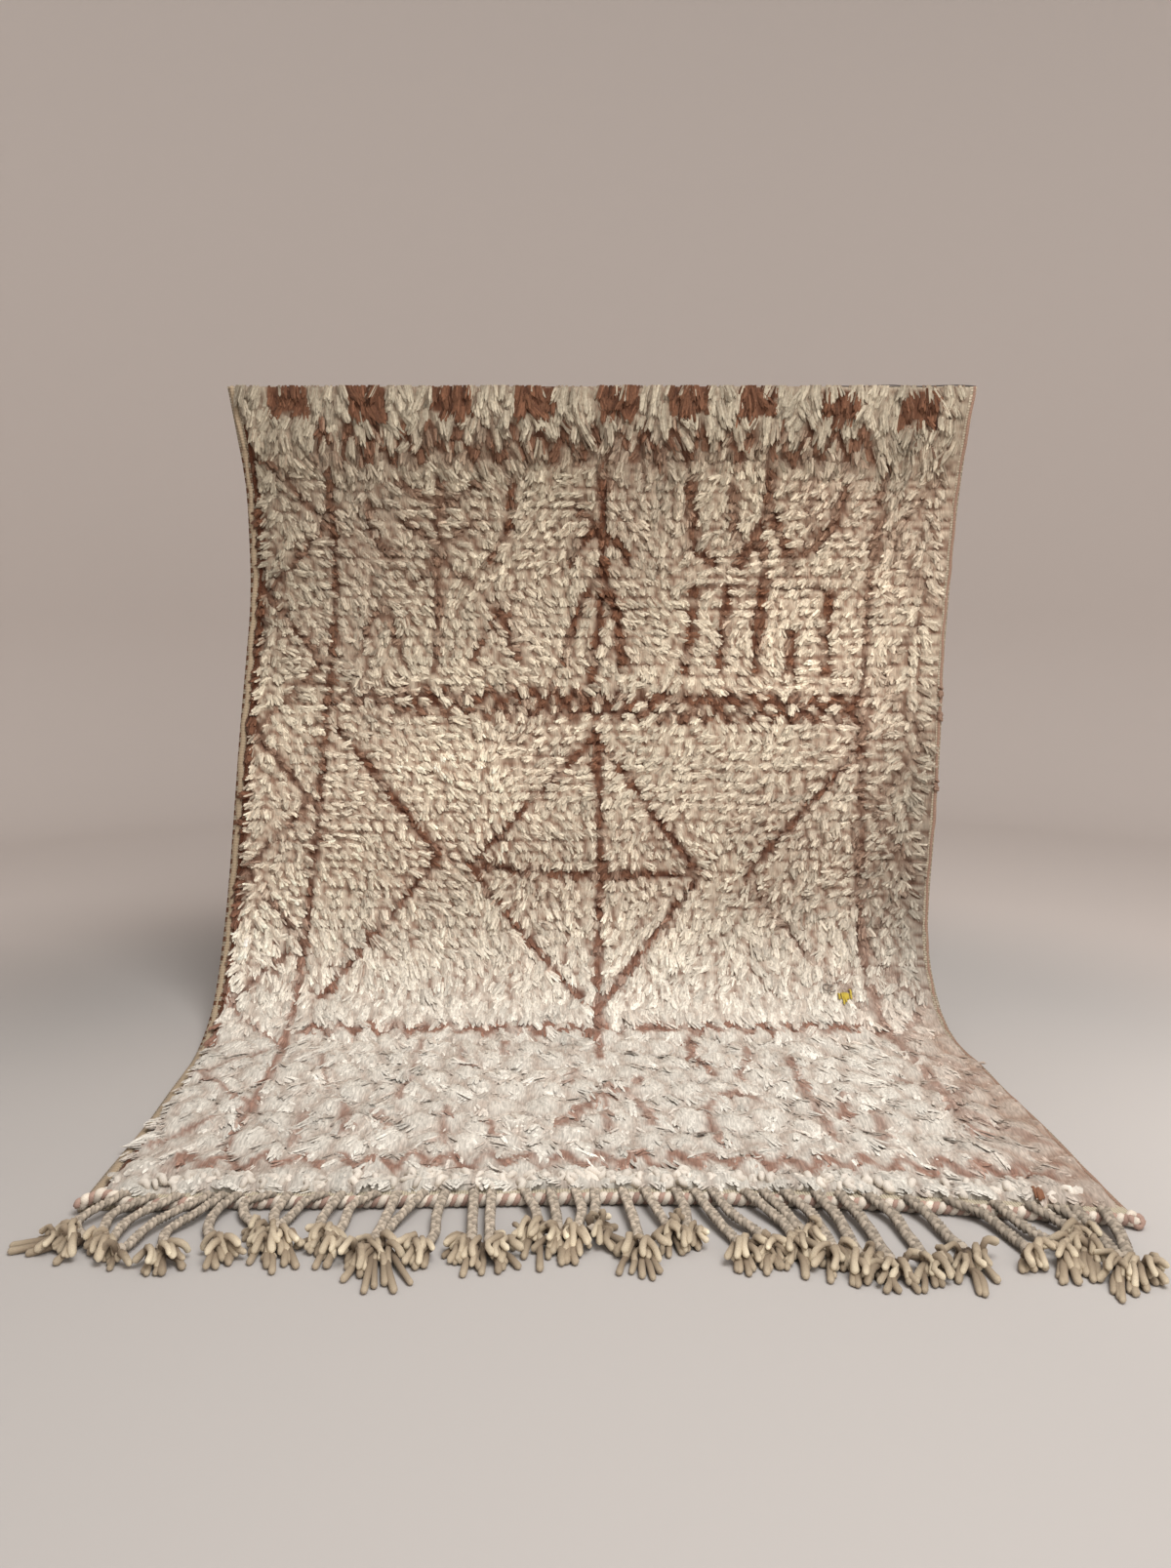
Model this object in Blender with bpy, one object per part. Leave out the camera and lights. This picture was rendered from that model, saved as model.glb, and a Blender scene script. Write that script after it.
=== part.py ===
"""A Beni Ourain pile rug that hangs by its top end, its lower end drawn forward over the floor.

Metres. The origin is the middle of the top end, +X runs along that end, +Z is up and the pile faces -Y.
"""
import math
from collections import namedtuple

import bmesh
import bpy
import numpy as np
from mathutils import Matrix, Vector, noise

# Driving sizes
HANG_HEIGHT = 1.320         # top end above the floor
FOUNDATION = 0.008          # woven ground with the backs of its knots
PILE = 0.024                # mean height of the pile over the ground
PILE_LUMPS = 0.52           # share of the pile's height that its lumps take
BROAD_LUMPS = 9             # broad lumps for each metre, and the smaller ones on them
SMALL_LUMPS = 31
SELVEDGE = 0.016            # bare cord along each side
PILE_SHOULDER = 0.007       # how far the pile's side wall leans in
PLAIN_END = 0.020           # bare strip between the pile and the twined edge
PILE_STEP = 0.006           # how far the pile takes to end there
END_PILE = 0.45             # share of the pile's height at the top end
CLEARANCE = 0.0003          # gap between the rug's end and the twined edge

ROW_PITCH = 0.036           # length of one row of faces down the rug
COLUMNS = 32                # faces across the pile side, a multiple of BACK_SPAN
BACK_SPAN = 4               # pile-side faces for each face of the back
CURVE_STEPS = 24            # steps between two sections, to measure along the rug
SLOPE_REACH = 0.004         # how far each way the slope of the ground is read

TWINE_DEPTH = 0.020         # twined edge, front to back
TWINE_HEIGHT = 0.018
ROOT_SIDE = 3               # side of the twined edge's section that the braids leave: its upper front
TWINE_INSET = 0.005         # how far short of the rug's corners the twined edge stops
BRAID_WIDTH = 0.013
BRAID_HEIGHT = 0.012
BRAID_STEPS = (0, 0.35, 0.7)  # shares of the way from where a braid lands to its knot
ARCH_REACH = 0.007          # in front of the twined edge, where a braid arches down
LANDING_REACH = 0.024       # in front of the twined edge, where it lands
KNOT_WIDTH = 0.019
KNOT_LENGTH = 0.003
HEAD_RADIUS = 0.011         # half-round head that the tassel's locks grow from
HEAD_ARC = math.radians(62)
TASSEL_HEIGHT = 0.013
LOCK_WIDTH = 0.0052         # a tassel lock, where its neighbours leave it room
LOCK_FILL = 0.76            # most of its own strip of the tassel that a lock may take
LOCK_TIP = 0.55             # share of a tassel lock's width and height left at its tip

RIM_LOCK_EVERY = 2          # rows of faces for each lock of pile at the sides
RIM_LOCK_LENGTH = 0.021
RIM_FILL = 0.8              # most of the pile's side wall that a lock may take
SEED = 11

# Rings of a lock of pile at the sides and of a lock of a tassel, by the share of its length at which each is
RimRing = namedtuple("RimRing", "share half_width half_height")
RIM_RINGS = [RimRing(0.20, 0.0100, 0.0080), RimRing(0.65, 0.0075, 0.0060), RimRing(1, 0.0020, 0.0020)]
TasselRing = namedtuple("TasselRing", "share spread")
TASSEL_RINGS = [TasselRing(0.25, 0.94), TasselRing(0.65, 1), TasselRing(1, 1.02)]
ROUND_END = 0.12            # how much shorter than the middle lock the outer ones are

# The ground's middle line, from the top end down: its height above the floor, how far it lies behind the top
# end, and where its two edges are, each measured from the rug's middle.
Section = namedtuple("Section", "height behind left right")
SECTIONS = [
    Section(1.320, 0.000, 0.768, 0.768),
    Section(1.230, 0.012, 0.756, 0.758),
    Section(1.135, 0.036, 0.748, 0.754),
    Section(1.040, 0.053, 0.749, 0.751),
    Section(0.895, 0.062, 0.753, 0.746),
    Section(0.745, 0.046, 0.765, 0.735),
    Section(0.595, 0.016, 0.775, 0.726),
    Section(0.400, -0.012, 0.788, 0.712),
    Section(0.250, -0.031, 0.800, 0.700),
    Section(0.150, -0.063, 0.806, 0.694),
    Section(0.070, -0.123, 0.804, 0.696),
    Section(0.028, -0.187, 0.801, 0.699),
    Section(0.007, -0.262, 0.795, 0.705),
    Section(0.004, -0.350, 0.784, 0.716),
    Section(0.004, -0.480, 0.776, 0.718),
    Section(0.004, -0.640, 0.764, 0.728),
    Section(0.004, -0.780, 0.761, 0.730),
    Section(0.004, -0.890, 0.757, 0.735),
]
DRAWN_FROM = -0.350         # from here forward the rows bend towards the line of the front end

# The bowed line of the front end, where the ground stops and the twined edge begins
FrontPoint = namedtuple("FrontPoint", "across behind")
FRONT_END = [
    FrontPoint(-0.760, -0.915),
    FrontPoint(-0.600, -0.896),
    FrontPoint(-0.400, -0.893),
    FrontPoint(-0.200, -0.887),
    FrontPoint(0.000, -0.881),
    FrontPoint(0.200, -0.885),
    FrontPoint(0.350, -0.896),
    FrontPoint(0.500, -0.914),
    FrontPoint(0.740, -0.948),
]

# Each braid from left to right: where it leaves the twined edge, where its knot lies, how its tassel points
# (degrees to the right of straight ahead), its locks, half their spread and their length.
Braid = namedtuple("Braid", "root knot_x knot_y heading locks spread reach")
BRAIDS = [
    Braid(-0.700, -0.742, -0.975, -72, 4, 0.016, 0.060),
    Braid(-0.661, -0.708, -1.004, -4, 4, 0.014, 0.078),
    Braid(-0.623, -0.670, -1.018, 0, 4, 0.013, 0.058),
    Braid(-0.583, -0.633, -1.030, 0, 4, 0.013, 0.048),
    Braid(-0.557, -0.594, -1.032, 8, 5, 0.017, 0.048),
    Braid(-0.530, -0.522, -1.025, 3, 4, 0.014, 0.048),
    Braid(-0.492, -0.482, -0.985, 0, 4, 0.011, 0.062),
    Braid(-0.462, -0.450, -1.000, 0, 4, 0.011, 0.062),
    Braid(-0.416, -0.418, -0.985, 2, 4, 0.011, 0.072),
    Braid(-0.388, -0.388, -0.995, -1, 4, 0.011, 0.066),
    Braid(-0.339, -0.357, -1.005, -1, 4, 0.011, 0.066),
    Braid(-0.308, -0.325, -0.985, -1, 4, 0.011, 0.108),
    Braid(-0.270, -0.291, -1.010, 2, 4, 0.013, 0.118),
    Braid(-0.239, -0.247, -1.022, 0, 4, 0.014, 0.046),
    Braid(-0.196, -0.197, -1.018, -3, 4, 0.014, 0.048),
    Braid(-0.171, -0.160, -1.018, 1, 4, 0.013, 0.050),
    Braid(-0.124, -0.122, -0.955, 0, 4, 0.012, 0.066),
    Braid(-0.085, -0.085, -1.022, 0, 4, 0.013, 0.050),
    Braid(-0.048, -0.050, -1.008, 0, 4, 0.012, 0.056),
    Braid(-0.021, -0.012, -0.992, 4, 5, 0.017, 0.062),
    Braid(0.019, 0.037, -1.013, 3, 5, 0.017, 0.068),
    Braid(0.053, 0.079, -0.986, 1, 4, 0.013, 0.052),
    Braid(0.098, 0.115, -1.000, 3, 4, 0.014, 0.044),
    Braid(0.126, 0.170, -1.018, 2, 4, 0.014, 0.056),
    Braid(0.152, 0.205, -1.025, 1, 4, 0.012, 0.060),
    Braid(0.200, 0.236, -1.004, 0, 4, 0.010, 0.070),
    Braid(0.226, 0.264, -0.990, 1, 4, 0.010, 0.076),
    Braid(0.256, 0.310, -1.028, 1, 4, 0.011, 0.060),
    Braid(0.302, 0.345, -1.046, 1, 4, 0.012, 0.066),
    Braid(0.336, 0.380, -1.060, 1, 4, 0.012, 0.070),
    Braid(0.376, 0.417, -1.056, 2, 4, 0.013, 0.050),
    Braid(0.429, 0.466, -1.036, 6, 5, 0.020, 0.080),
    Braid(0.487, 0.545, -1.036, 2, 5, 0.019, 0.062),
    Braid(0.551, 0.591, -1.018, 1, 4, 0.013, 0.088),
    Braid(0.595, 0.622, -0.995, 0, 4, 0.010, 0.086),
    Braid(0.629, 0.650, -1.000, 0, 4, 0.010, 0.100),
    Braid(0.668, 0.696, -1.046, 0, 4, 0.010, 0.088),
    Braid(0.700, 0.728, -1.062, -1, 3, 0.009, 0.070),
]

UP = Vector((0, 0, 1))
ACROSS = Vector((1, 0, 0))
AHEAD = Vector((0, -1, 0))
FLOOR = -HANG_HEIGHT

WOOL_CREAM = (0.62, 0.55, 0.45)
BRAID_CREAM = (0.46, 0.40, 0.31)


def clear_scene():
    for old in list(bpy.data.objects):
        bpy.data.objects.remove(old)


def wool(name, colour):
    material = bpy.data.materials.new(name)
    material.use_nodes = True
    shader = material.node_tree.nodes["Principled BSDF"]
    shader.inputs["Base Color"].default_value = (*colour, 1)
    shader.inputs["Roughness"].default_value = 0.95
    shader.inputs["Metallic"].default_value = 0
    return material


def smooth_curve(points, steps):
    """A Catmull-Rom curve through rows of numbers, as an array with its given rows among its own."""
    rows = np.array(points, dtype=float)
    padded = np.vstack([2 * rows[0] - rows[1], rows, 2 * rows[-1] - rows[-2]])
    curve = []
    for before, start, end, after in zip(padded, padded[1:], padded[2:], padded[3:]):
        for t in np.arange(steps) / steps:
            bend = 2 * before - 5 * start + 4 * end - after
            turn = 3 * start - before - 3 * end + after
            curve.append(start + 0.5 * t * (end - before + t * (bend + t * turn)))
    curve.append(rows[-1])
    return np.array(curve)


def column_places():
    """Places across the rug, 0 at the left edge and 1 at the right, and the pile's share of its height."""
    width = SECTIONS[4].left + SECTIONS[4].right
    selvedge = SELVEDGE / width
    shoulder = (SELVEDGE + PILE_SHOULDER) / width
    inner = COLUMNS - 4
    places = [(0, 0), (selvedge, 0)]
    places += [(shoulder + (1 - 2 * shoulder) * index / inner, 1) for index in range(inner + 1)]
    return places + [(1 - selvedge, 0), (1, 0)]


def front_corners():
    """The bowed front end with a corner at each of the back's columns, which the twined edge follows too."""
    bow = smooth_curve(FRONT_END, CURVE_STEPS)
    left, right = SECTIONS[-1].left, SECTIONS[-1].right
    across = [place * (left + right) - left for place, _ in column_places()[::BACK_SPAN]]
    return across, np.interp(across, bow[:, 0], bow[:, 1])


FRONT_CORNERS = front_corners()


def front_end(across):
    """How far behind the top end the front end of the ground lies at a place across the rug."""
    return float(np.interp(across, *FRONT_CORNERS))


class Drape:
    """The ground's middle line as a function of the length along the rug from its top end."""

    def __init__(self):
        curve = smooth_curve(SECTIONS, CURVE_STEPS)
        curve[:, 0] = np.maximum(curve[:, 0], FOUNDATION / 2)
        self.curve = curve
        steps = np.hypot(np.diff(curve[:, 0]), np.diff(curve[:, 1]))
        self.run = np.concatenate([[0], np.cumsum(steps)])
        self.length = float(self.run[-1])

    def at(self, run):
        return [float(np.interp(run, self.run, column)) for column in self.curve.T]

    def frame(self, run):
        """Height and depth of the middle line, both edges, and the ways down the rug and out of the pile."""
        height, behind, left, right = self.at(run)
        height_before, behind_before, *_ = self.at(max(run - SLOPE_REACH, 0))
        height_after, behind_after, *_ = self.at(min(run + SLOPE_REACH, self.length))
        along = Vector((0, behind_after - behind_before, height_after - height_before)).normalized()
        return height, behind, left, right, along, along.cross(ACROSS)


def draw_forward(across, behind):
    """How far a point of the floor run shifts so that the last row meets the bowed front end."""
    share = np.clip((DRAWN_FROM - behind) / (DRAWN_FROM - SECTIONS[-1].behind), 0, 1)
    return share * share * (front_end(across) - SECTIONS[-1].behind)


def pile_rows(drape):
    """Lengths along the rug for each row of points, with the pile's share of its height there."""
    pile_end = drape.length - PLAIN_END - PILE_STEP
    count = round(pile_end / ROW_PITCH)
    rows = [(pile_end * index / count, 1) for index in range(count + 1)]
    rows[0] = (0, END_PILE)
    return rows + [(drape.length - PLAIN_END, 0), (drape.length, 0)]


def lumpy(across, run):
    """Pile height at a point: broad clumps with smaller ones on them."""
    place = Vector((across, run, 1))
    broad = noise.noise(place * BROAD_LUMPS)
    small = noise.noise(place * SMALL_LUMPS)
    return PILE * (1 + PILE_LUMPS * (broad + small))


def grow_ring(bm, face, centre, side, half_width, half_height, up=UP):
    """Extrude a four-sided face and set its new corners about a centre."""
    middle = face.calc_center_median()
    grown = bmesh.ops.extrude_discrete_faces(bm, faces=[face])["faces"][0]
    for vert in grown.verts:
        offset = vert.co - middle
        across = math.copysign(half_width, offset.dot(side))
        above = math.copysign(half_height, offset.dot(up))
        vert.co = centre + side * across + up * above
    return grown


def grow_rim_lock(bm, face, outward, along, facing, generator):
    """A lock of pile that stands out from the pile's side wall and hangs a little down the rug."""
    root = face.calc_center_median()
    droop = generator.uniform(0.1, 0.6)
    lift = generator.uniform(0.0, 0.35)
    lean = (outward + along * droop + facing * lift).normalized()
    length = RIM_LOCK_LENGTH * generator.uniform(0.75, 1.25)
    side = lean.cross(facing).normalized()
    up = side.cross(lean).normalized()
    if up.dot(facing) < 0:
        up = -up
    room = RIM_FILL * min(abs((vert.co - root).dot(up)) for vert in face.verts)
    for ring in RIM_RINGS:
        centre = root + lean * length * ring.share
        face = grow_ring(bm, face, centre, side, ring.half_width, min(ring.half_height, room), up)


def build_rug():
    drape = Drape()
    rows = pile_rows(drape)
    columns = column_places()
    generator = np.random.default_rng(SEED)
    bm = bmesh.new()
    front = []
    back = []
    frames = []
    for run, row_pile in rows:
        height, behind, left, right, along, facing = drape.frame(run)
        frames.append((along, facing))
        front_row = []
        back_row = []
        for index, (place, column_pile) in enumerate(columns):
            across = -left + place * (left + right)
            ground = Vector((across, behind + draw_forward(across, behind), height + FLOOR))
            rise = FOUNDATION / 2 + row_pile * column_pile * lumpy(across, run)
            front_row.append(bm.verts.new(ground + facing * rise))
            if index % BACK_SPAN == 0:
                under = ground - facing * FOUNDATION / 2
                under.z = max(under.z, FLOOR)
                back_row.append(bm.verts.new(under))
        front.append(front_row)
        back.append(back_row)
    walls = skin_slab(bm, front, back)
    for row, face, outward in walls:
        if row % RIM_LOCK_EVERY == 0:
            along, facing = frames[row]
            grow_rim_lock(bm, face, Vector((outward, 0, 0)), along, facing, generator)
    return finish_piece(bm, "rug", WOOL_CREAM)


def skin_slab(bm, front, back):
    """Faces of the pile side, back, sides and ends. Returns the pile's side walls, where locks grow."""
    walls = []
    last = len(front) - 1
    for row in range(last):
        upper, lower = front[row], front[row + 1]
        for column in range(COLUMNS):
            face = bm.faces.new((upper[column], upper[column + 1], lower[column + 1], lower[column]))
            if column in (1, COLUMNS - 2) and 0 < row < last - 2:
                walls.append((row, face, -1 if column == 1 else 1))
        for upper_left, upper_right, lower_left, lower_right in zip(
                back[row], back[row][1:], back[row + 1], back[row + 1][1:]):
            bm.faces.new((upper_right, upper_left, lower_left, lower_right))
        for edge in (0, -1):
            bm.faces.new((upper[edge], lower[edge], back[row + 1][edge], back[row][edge]))
    for end in (0, last):
        for span in range(COLUMNS // BACK_SPAN):
            first = span * BACK_SPAN
            rim = front[end][first:first + BACK_SPAN + 1]
            bm.faces.new(rim + [back[end][span + 1], back[end][span]])
    return walls


def twine_section():
    """Section of the twined edge: places in front of the rug's end and heights above the floor."""
    return [
        (0, 0),
        (0, 0.6 * TWINE_HEIGHT),
        (0.3 * TWINE_DEPTH, TWINE_HEIGHT),
        (0.7 * TWINE_DEPTH, TWINE_HEIGHT),
        (TWINE_DEPTH, 0.58 * TWINE_HEIGHT),
        (0.85 * TWINE_DEPTH, 0),
    ]


def build_fringe():
    bm = bmesh.new()
    half = BRAID_WIDTH / 2
    places = [TWINE_INSET - SECTIONS[-1].left]
    for braid in BRAIDS:
        places += [braid.root - half, braid.root + half]
    places.append(SECTIONS[-1].right - TWINE_INSET)
    rings = []
    for across in places:
        line = front_end(across) - CLEARANCE
        ring = [(across, line - ahead, FLOOR + above) for ahead, above in twine_section()]
        rings.append([bm.verts.new(point) for point in ring])
    roots = []
    sides = len(rings[0])
    for station, (ring, following) in enumerate(zip(rings, rings[1:])):
        for side in range(sides):
            other = (side + 1) % sides
            face = bm.faces.new((ring[side], ring[other], following[other], following[side]))
            if side == ROOT_SIDE and station % 2 == 1:
                roots.append(face)
    bm.faces.new(rings[0])
    bm.faces.new(reversed(rings[-1]))
    for braid, root in zip(BRAIDS, roots):
        grow_braid(bm, root, braid)
    return finish_piece(bm, "fringe", BRAID_CREAM)


def grow_braid(bm, face, braid):
    """A braid that arches off the twined edge, lies down on the floor and ends in a knot and its tassel."""
    heading = Matrix.Rotation(math.radians(braid.heading), 3, "Z") @ AHEAD
    lying = FLOOR + BRAID_HEIGHT / 2
    front = front_end(braid.root) - TWINE_DEPTH
    arch = Vector((braid.root, front - ARCH_REACH, FLOOR + 0.7 * TWINE_HEIGHT))
    landing = Vector((braid.root, front - LANDING_REACH, lying))
    knot = Vector((braid.knot_x, braid.knot_y, lying))
    span = (knot - landing).length
    leaving = landing + AHEAD * span * 0.4
    arriving = knot - heading * span * 0.35
    half = BRAID_WIDTH / 2
    face = grow_ring(bm, face, arch, ACROSS, half, BRAID_HEIGHT / 2)
    for share in BRAID_STEPS:
        centre, side = bezier(landing, leaving, arriving, knot, share)
        face = grow_ring(bm, face, centre, side, half, BRAID_HEIGHT / 2)
    centre = knot.copy()
    centre.z = FLOOR + TASSEL_HEIGHT / 2
    side = Vector((-heading.y, heading.x, 0))
    face = grow_ring(bm, face, centre, side, KNOT_WIDTH / 2, TASSEL_HEIGHT / 2)
    grow_tassel(bm, face, centre + heading * KNOT_LENGTH, heading, side, braid)


def bezier(start, leaving, arriving, end, share):
    """A point of a cubic curve and the level direction square to it."""
    rest = 1 - share
    point = (start * rest**3 + leaving * 3 * rest**2 * share
             + arriving * 3 * rest * share**2 + end * share**3)
    ahead = ((leaving - start) * rest**2 + (arriving - leaving) * 2 * rest * share
             + (end - arriving) * share**2).normalized()
    return point, Vector((-ahead.y, ahead.x, 0))


def grow_tassel(bm, face, centre, heading, side, braid):
    """Open the knot into a half-round head and grow one lock from each of the head's upright faces."""
    corners = {}
    for vert in face.verts:
        offset = vert.co - centre
        corners[offset.dot(side) > 0, offset.z > 0] = vert
    bmesh.ops.delete(bm, geom=[face], context="FACES_ONLY")
    rim = []
    for index in range(braid.locks + 1):
        angle = HEAD_ARC * (2 * index / braid.locks - 1)
        foot = centre + (heading * math.cos(angle) + side * math.sin(angle)) * HEAD_RADIUS
        rim.append([bm.verts.new(foot + UP * TASSEL_HEIGHT / 2), bm.verts.new(foot - UP * TASSEL_HEIGHT / 2)])
    tops = [top for top, _ in rim]
    bottoms = [bottom for _, bottom in rim]
    bm.faces.new([corners[False, True]] + tops + [corners[True, True]])
    bm.faces.new([corners[True, False]] + bottoms[::-1] + [corners[False, False]])
    bm.faces.new((corners[False, False], bottoms[0], tops[0], corners[False, True]))
    bm.faces.new((corners[True, True], tops[-1], bottoms[-1], corners[True, False]))
    for index in range(braid.locks):
        root = bm.faces.new((tops[index], bottoms[index], bottoms[index + 1], tops[index + 1]))
        place = 2 * (index + 0.5) / braid.locks - 1
        grow_tassel_lock(bm, root, centre, heading, side, place, braid)


def grow_tassel_lock(bm, face, centre, heading, side, place, braid):
    """One lock: place runs from -1 at the tassel's one side to 1 at its other."""
    length = braid.reach * (1 - ROUND_END * place * place)
    strip = 2 * braid.spread / braid.locks
    half_width = min(LOCK_WIDTH, LOCK_FILL * strip) / 2
    for ring in TASSEL_RINGS:
        taper = 1 - (1 - LOCK_TIP) * ring.share**2
        half_height = TASSEL_HEIGHT / 2 * taper
        ahead = heading * (HEAD_RADIUS + length * ring.share)
        middle = centre + ahead + side * place * braid.spread * ring.spread
        middle.z = FLOOR + half_height
        face = grow_ring(bm, face, middle, side, half_width * taper, half_height)


def finish_piece(bm, name, colour):
    bmesh.ops.recalc_face_normals(bm, faces=bm.faces)
    mesh = bpy.data.meshes.new(name)
    bm.to_mesh(mesh)
    bm.free()
    mesh.shade_smooth()
    mesh.set_sharp_from_angle(angle=math.radians(50))
    mesh.materials.append(wool(f"{name}_wool", colour))
    piece = bpy.data.objects.new(name, mesh)
    bpy.context.collection.objects.link(piece)
    return piece


def main():
    clear_scene()
    build_rug()
    build_fringe()


main()
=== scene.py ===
"""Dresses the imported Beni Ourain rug: ground, knotted pile, selvedges, twined edge, braids and tassels."""

import math
from collections import namedtuple

import bpy
import numpy as np
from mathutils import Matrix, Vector, noise
from mathutils.kdtree import KDTree


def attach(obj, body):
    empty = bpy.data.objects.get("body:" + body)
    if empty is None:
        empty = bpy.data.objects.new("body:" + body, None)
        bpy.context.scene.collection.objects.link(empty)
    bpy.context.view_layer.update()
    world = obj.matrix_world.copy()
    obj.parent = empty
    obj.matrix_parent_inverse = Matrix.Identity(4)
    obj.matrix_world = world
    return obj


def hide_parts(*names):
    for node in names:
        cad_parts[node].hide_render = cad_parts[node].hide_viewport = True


# Sizes of the cloth, as in the part
HANG_HEIGHT = 1.320
HALF_WIDTH = 0.750
GROUND = 0.007
CURVE_STEPS = 24
PLAIN_END = 0.022
DRAWN_FROM = -0.350
FLOOR = -HANG_HEIGHT

# The ground's middle line, from the top end down: its height above the floor, how far it lies behind the top
# end, and where its two edges are, each measured from the rug's middle.
Section = namedtuple("Section", "height behind left right")
SECTIONS = [Section(*row) for row in [
    (1.320, 0.000, 0.768, 0.768),
    (1.230, 0.012, 0.756, 0.758),
    (1.135, 0.036, 0.748, 0.754),
    (1.040, 0.053, 0.749, 0.751),
    (0.895, 0.062, 0.753, 0.746),
    (0.745, 0.046, 0.765, 0.735),
    (0.595, 0.016, 0.775, 0.726),
    (0.400, -0.012, 0.788, 0.712),
    (0.250, -0.031, 0.800, 0.700),
    (0.150, -0.063, 0.806, 0.694),
    (0.070, -0.123, 0.804, 0.696),
    (0.028, -0.187, 0.801, 0.699),
    (0.007, -0.262, 0.795, 0.705),
    (0.004, -0.350, 0.784, 0.716),
    (0.004, -0.480, 0.776, 0.718),
    (0.004, -0.640, 0.764, 0.728),
    (0.004, -0.780, 0.761, 0.730),
    (0.004, -0.890, 0.757, 0.735),
]]
FRONT_END = [
    (-0.760, -0.915), (-0.600, -0.896), (-0.400, -0.893), (-0.200, -0.887), (0.000, -0.881),
    (0.200, -0.885), (0.350, -0.896), (0.500, -0.914), (0.740, -0.948),
]

# Pile: the pitch of its rows and tufts, the places that they keep to, and the sizes of strands and cushions
ROW_PITCH = 0.0208
TUFT_PITCH = 0.0238
ROW_HALF = 0.731
TUFT_LEFT, TUFT_RIGHT, TUFT_TOP = -0.724, 0.741, 0.004
TUFT_RADIUS = 0.0118
STRANDS = 12
GOLDEN_ANGLE = 2.39996
STRAND_RADIUS = 0.0026
PILE_PIECES = 4
CUSHION = 0.013
BASE_LEFT, BASE_RIGHT = -0.728, 0.740
BASE_COLUMNS, BASE_ROWS = 167, 240

# The pile hangs free between the first two runs. Over the next two it gathers into the larger locks that it
# forms on the floor; these are so far apart and stand so high.
HANGS_FROM, HANGS_TO = 0.07, 1.40
GATHERS = (1.28, 1.44)
CLUMP_ACROSS = 0.058
CLUMP_RUN = 0.070
CLUMP_RISE = 0.0105

# How the pile lies along the rug: length of the part of a strand that shows, the angles at which it leaves
# the tuft and ends (degrees above the ground), how far it leans to the sides (degrees from straight down the
# rug), how much that changes from patch to patch, how loose the strands of a tuft are (degrees), how curly
# they are, how wide the tuft is at its tip, how white it is, how bright (partly painted light: darkest
# towards the top end), and how softly its strands blend.
Zone = namedtuple("Zone", "run length rise droop lean sway loose curl tip white bright soft")
ZONES = [Zone(*row) for row in [
    (0.00, 0.036, 20, -8, 0, 8, 4, 6, 0.9, 0.05, 0.68, 0.76),
    (0.13, 0.034, 22, -6, 0, 18, 6, 10, 0.7, 0.0, 0.74, 0.78),
    (0.20, 0.022, 24, -16, 52, 26, 9, 24, 0.55, 0.04, 0.85, 0.88),
    (0.60, 0.022, 24, -16, 60, 30, 9, 26, 0.52, 0.12, 1.01, 0.88),
    (0.80, 0.022, 24, -16, 60, 30, 9, 26, 0.52, 0.20, 1.13, 0.88),
    (1.02, 0.022, 24, -16, 66, 24, 9, 24, 0.52, 0.28, 1.12, 0.88),
    (1.12, 0.026, 22, -12, 28, 24, 8, 20, 0.60, 0.42, 1.10, 0.88),
    (1.30, 0.031, 16, -14, 5, 18, 7, 16, 0.7, 0.80, 1.13, 0.86),
    (1.45, 0.041, 4, -7, 4, 12, 3, 14, 0.8, 1.00, 0.98, 0.90),
    (1.75, 0.041, 4, -7, 6, 12, 3, 14, 0.8, 1.00, 0.96, 0.92),
    (1.97, 0.037, 5, -9, 8, 14, 3, 14, 0.8, 1.00, 0.91, 0.90),
    (2.02, 0.024, 6, -12, 10, 16, 3, 14, 0.8, 1.00, 0.82, 0.90),
    (2.05, 0.013, 6, -14, 10, 20, 3, 14, 0.8, 1.00, 0.80, 0.90),
]]

# Points of the foundation, across it and down it; the back has four steps to one of the front
BACK_SPLIT = 4
FRONT_COLUMNS = 31
FRONT_ROWS = 43
BACK_COLUMNS = (FRONT_COLUMNS - 1) * BACK_SPLIT + 1
BACK_ROWS = (FRONT_ROWS - 1) * BACK_SPLIT + 1

# Front edge and fringe
EDGE_LEFT, EDGE_RIGHT = -0.755, 0.722
EDGE_AHEAD, EDGE_HEIGHT = 0.0103, 0.0094
EDGE_PITCH = 0.0185
EDGE_HELIX = 0.0038
EDGE_YARN = 0.0056
BRAID_PITCH = 0.0200
BRAID_STEP = 0.0031
BRAID_SWAY = 0.0043
BRAID_LIFT = 0.0026
BRAID_YARN = 0.0029
BRAID_HEIGHT, BRAID_LOWEST = 0.0095, 0.0075
KNOT_HEIGHT = 0.0090
KNOB_X, KNOB_Y, KNOB_RADIUS = 0.728, -0.958, 0.0085
YARN_END = 0.0048
ENDS = 15

# Curls of the front row, and small marks on the pile: places across the cloth, down it, or both
CURLS = 150
CURLS_LEFT, CURLS_WIDTH = -0.722, 1.446
DARK_CURLS = 0.630
DARK_LINE_ENDS = 0.462, 0.748
YELLOW_TUFT = 0.556, 1.292
GREY_CURL = 0.520, 1.280
EDGE_TUFTS = 0.640, 0.688, 0.835

# The yarn ends of a tassel lie in three heaps: where they begin (share of the way to the place they reach
# for), how much of that way they span and how long they may be, how far they turn from it (radians), the
# heights of their root, crest and end above the floor, and the light at their root and tip.
Heap = namedtuple("Heap", "begin span longest turn root crest end dark lit")
HEAPS = [
    Heap(0.00, 0.88, 0.110, 0.10, 0.0090, 0.006, 0.000, 0.05, 0.60),
    Heap(0.22, 0.60, 0.030, 0.55, 0.0100, 0.016, 0.007, 0.06, 0.90),
    Heap(0.30, 0.50, 0.024, 0.90, 0.0130, 0.026, 0.016, 0.12, 1.30),
]

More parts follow.
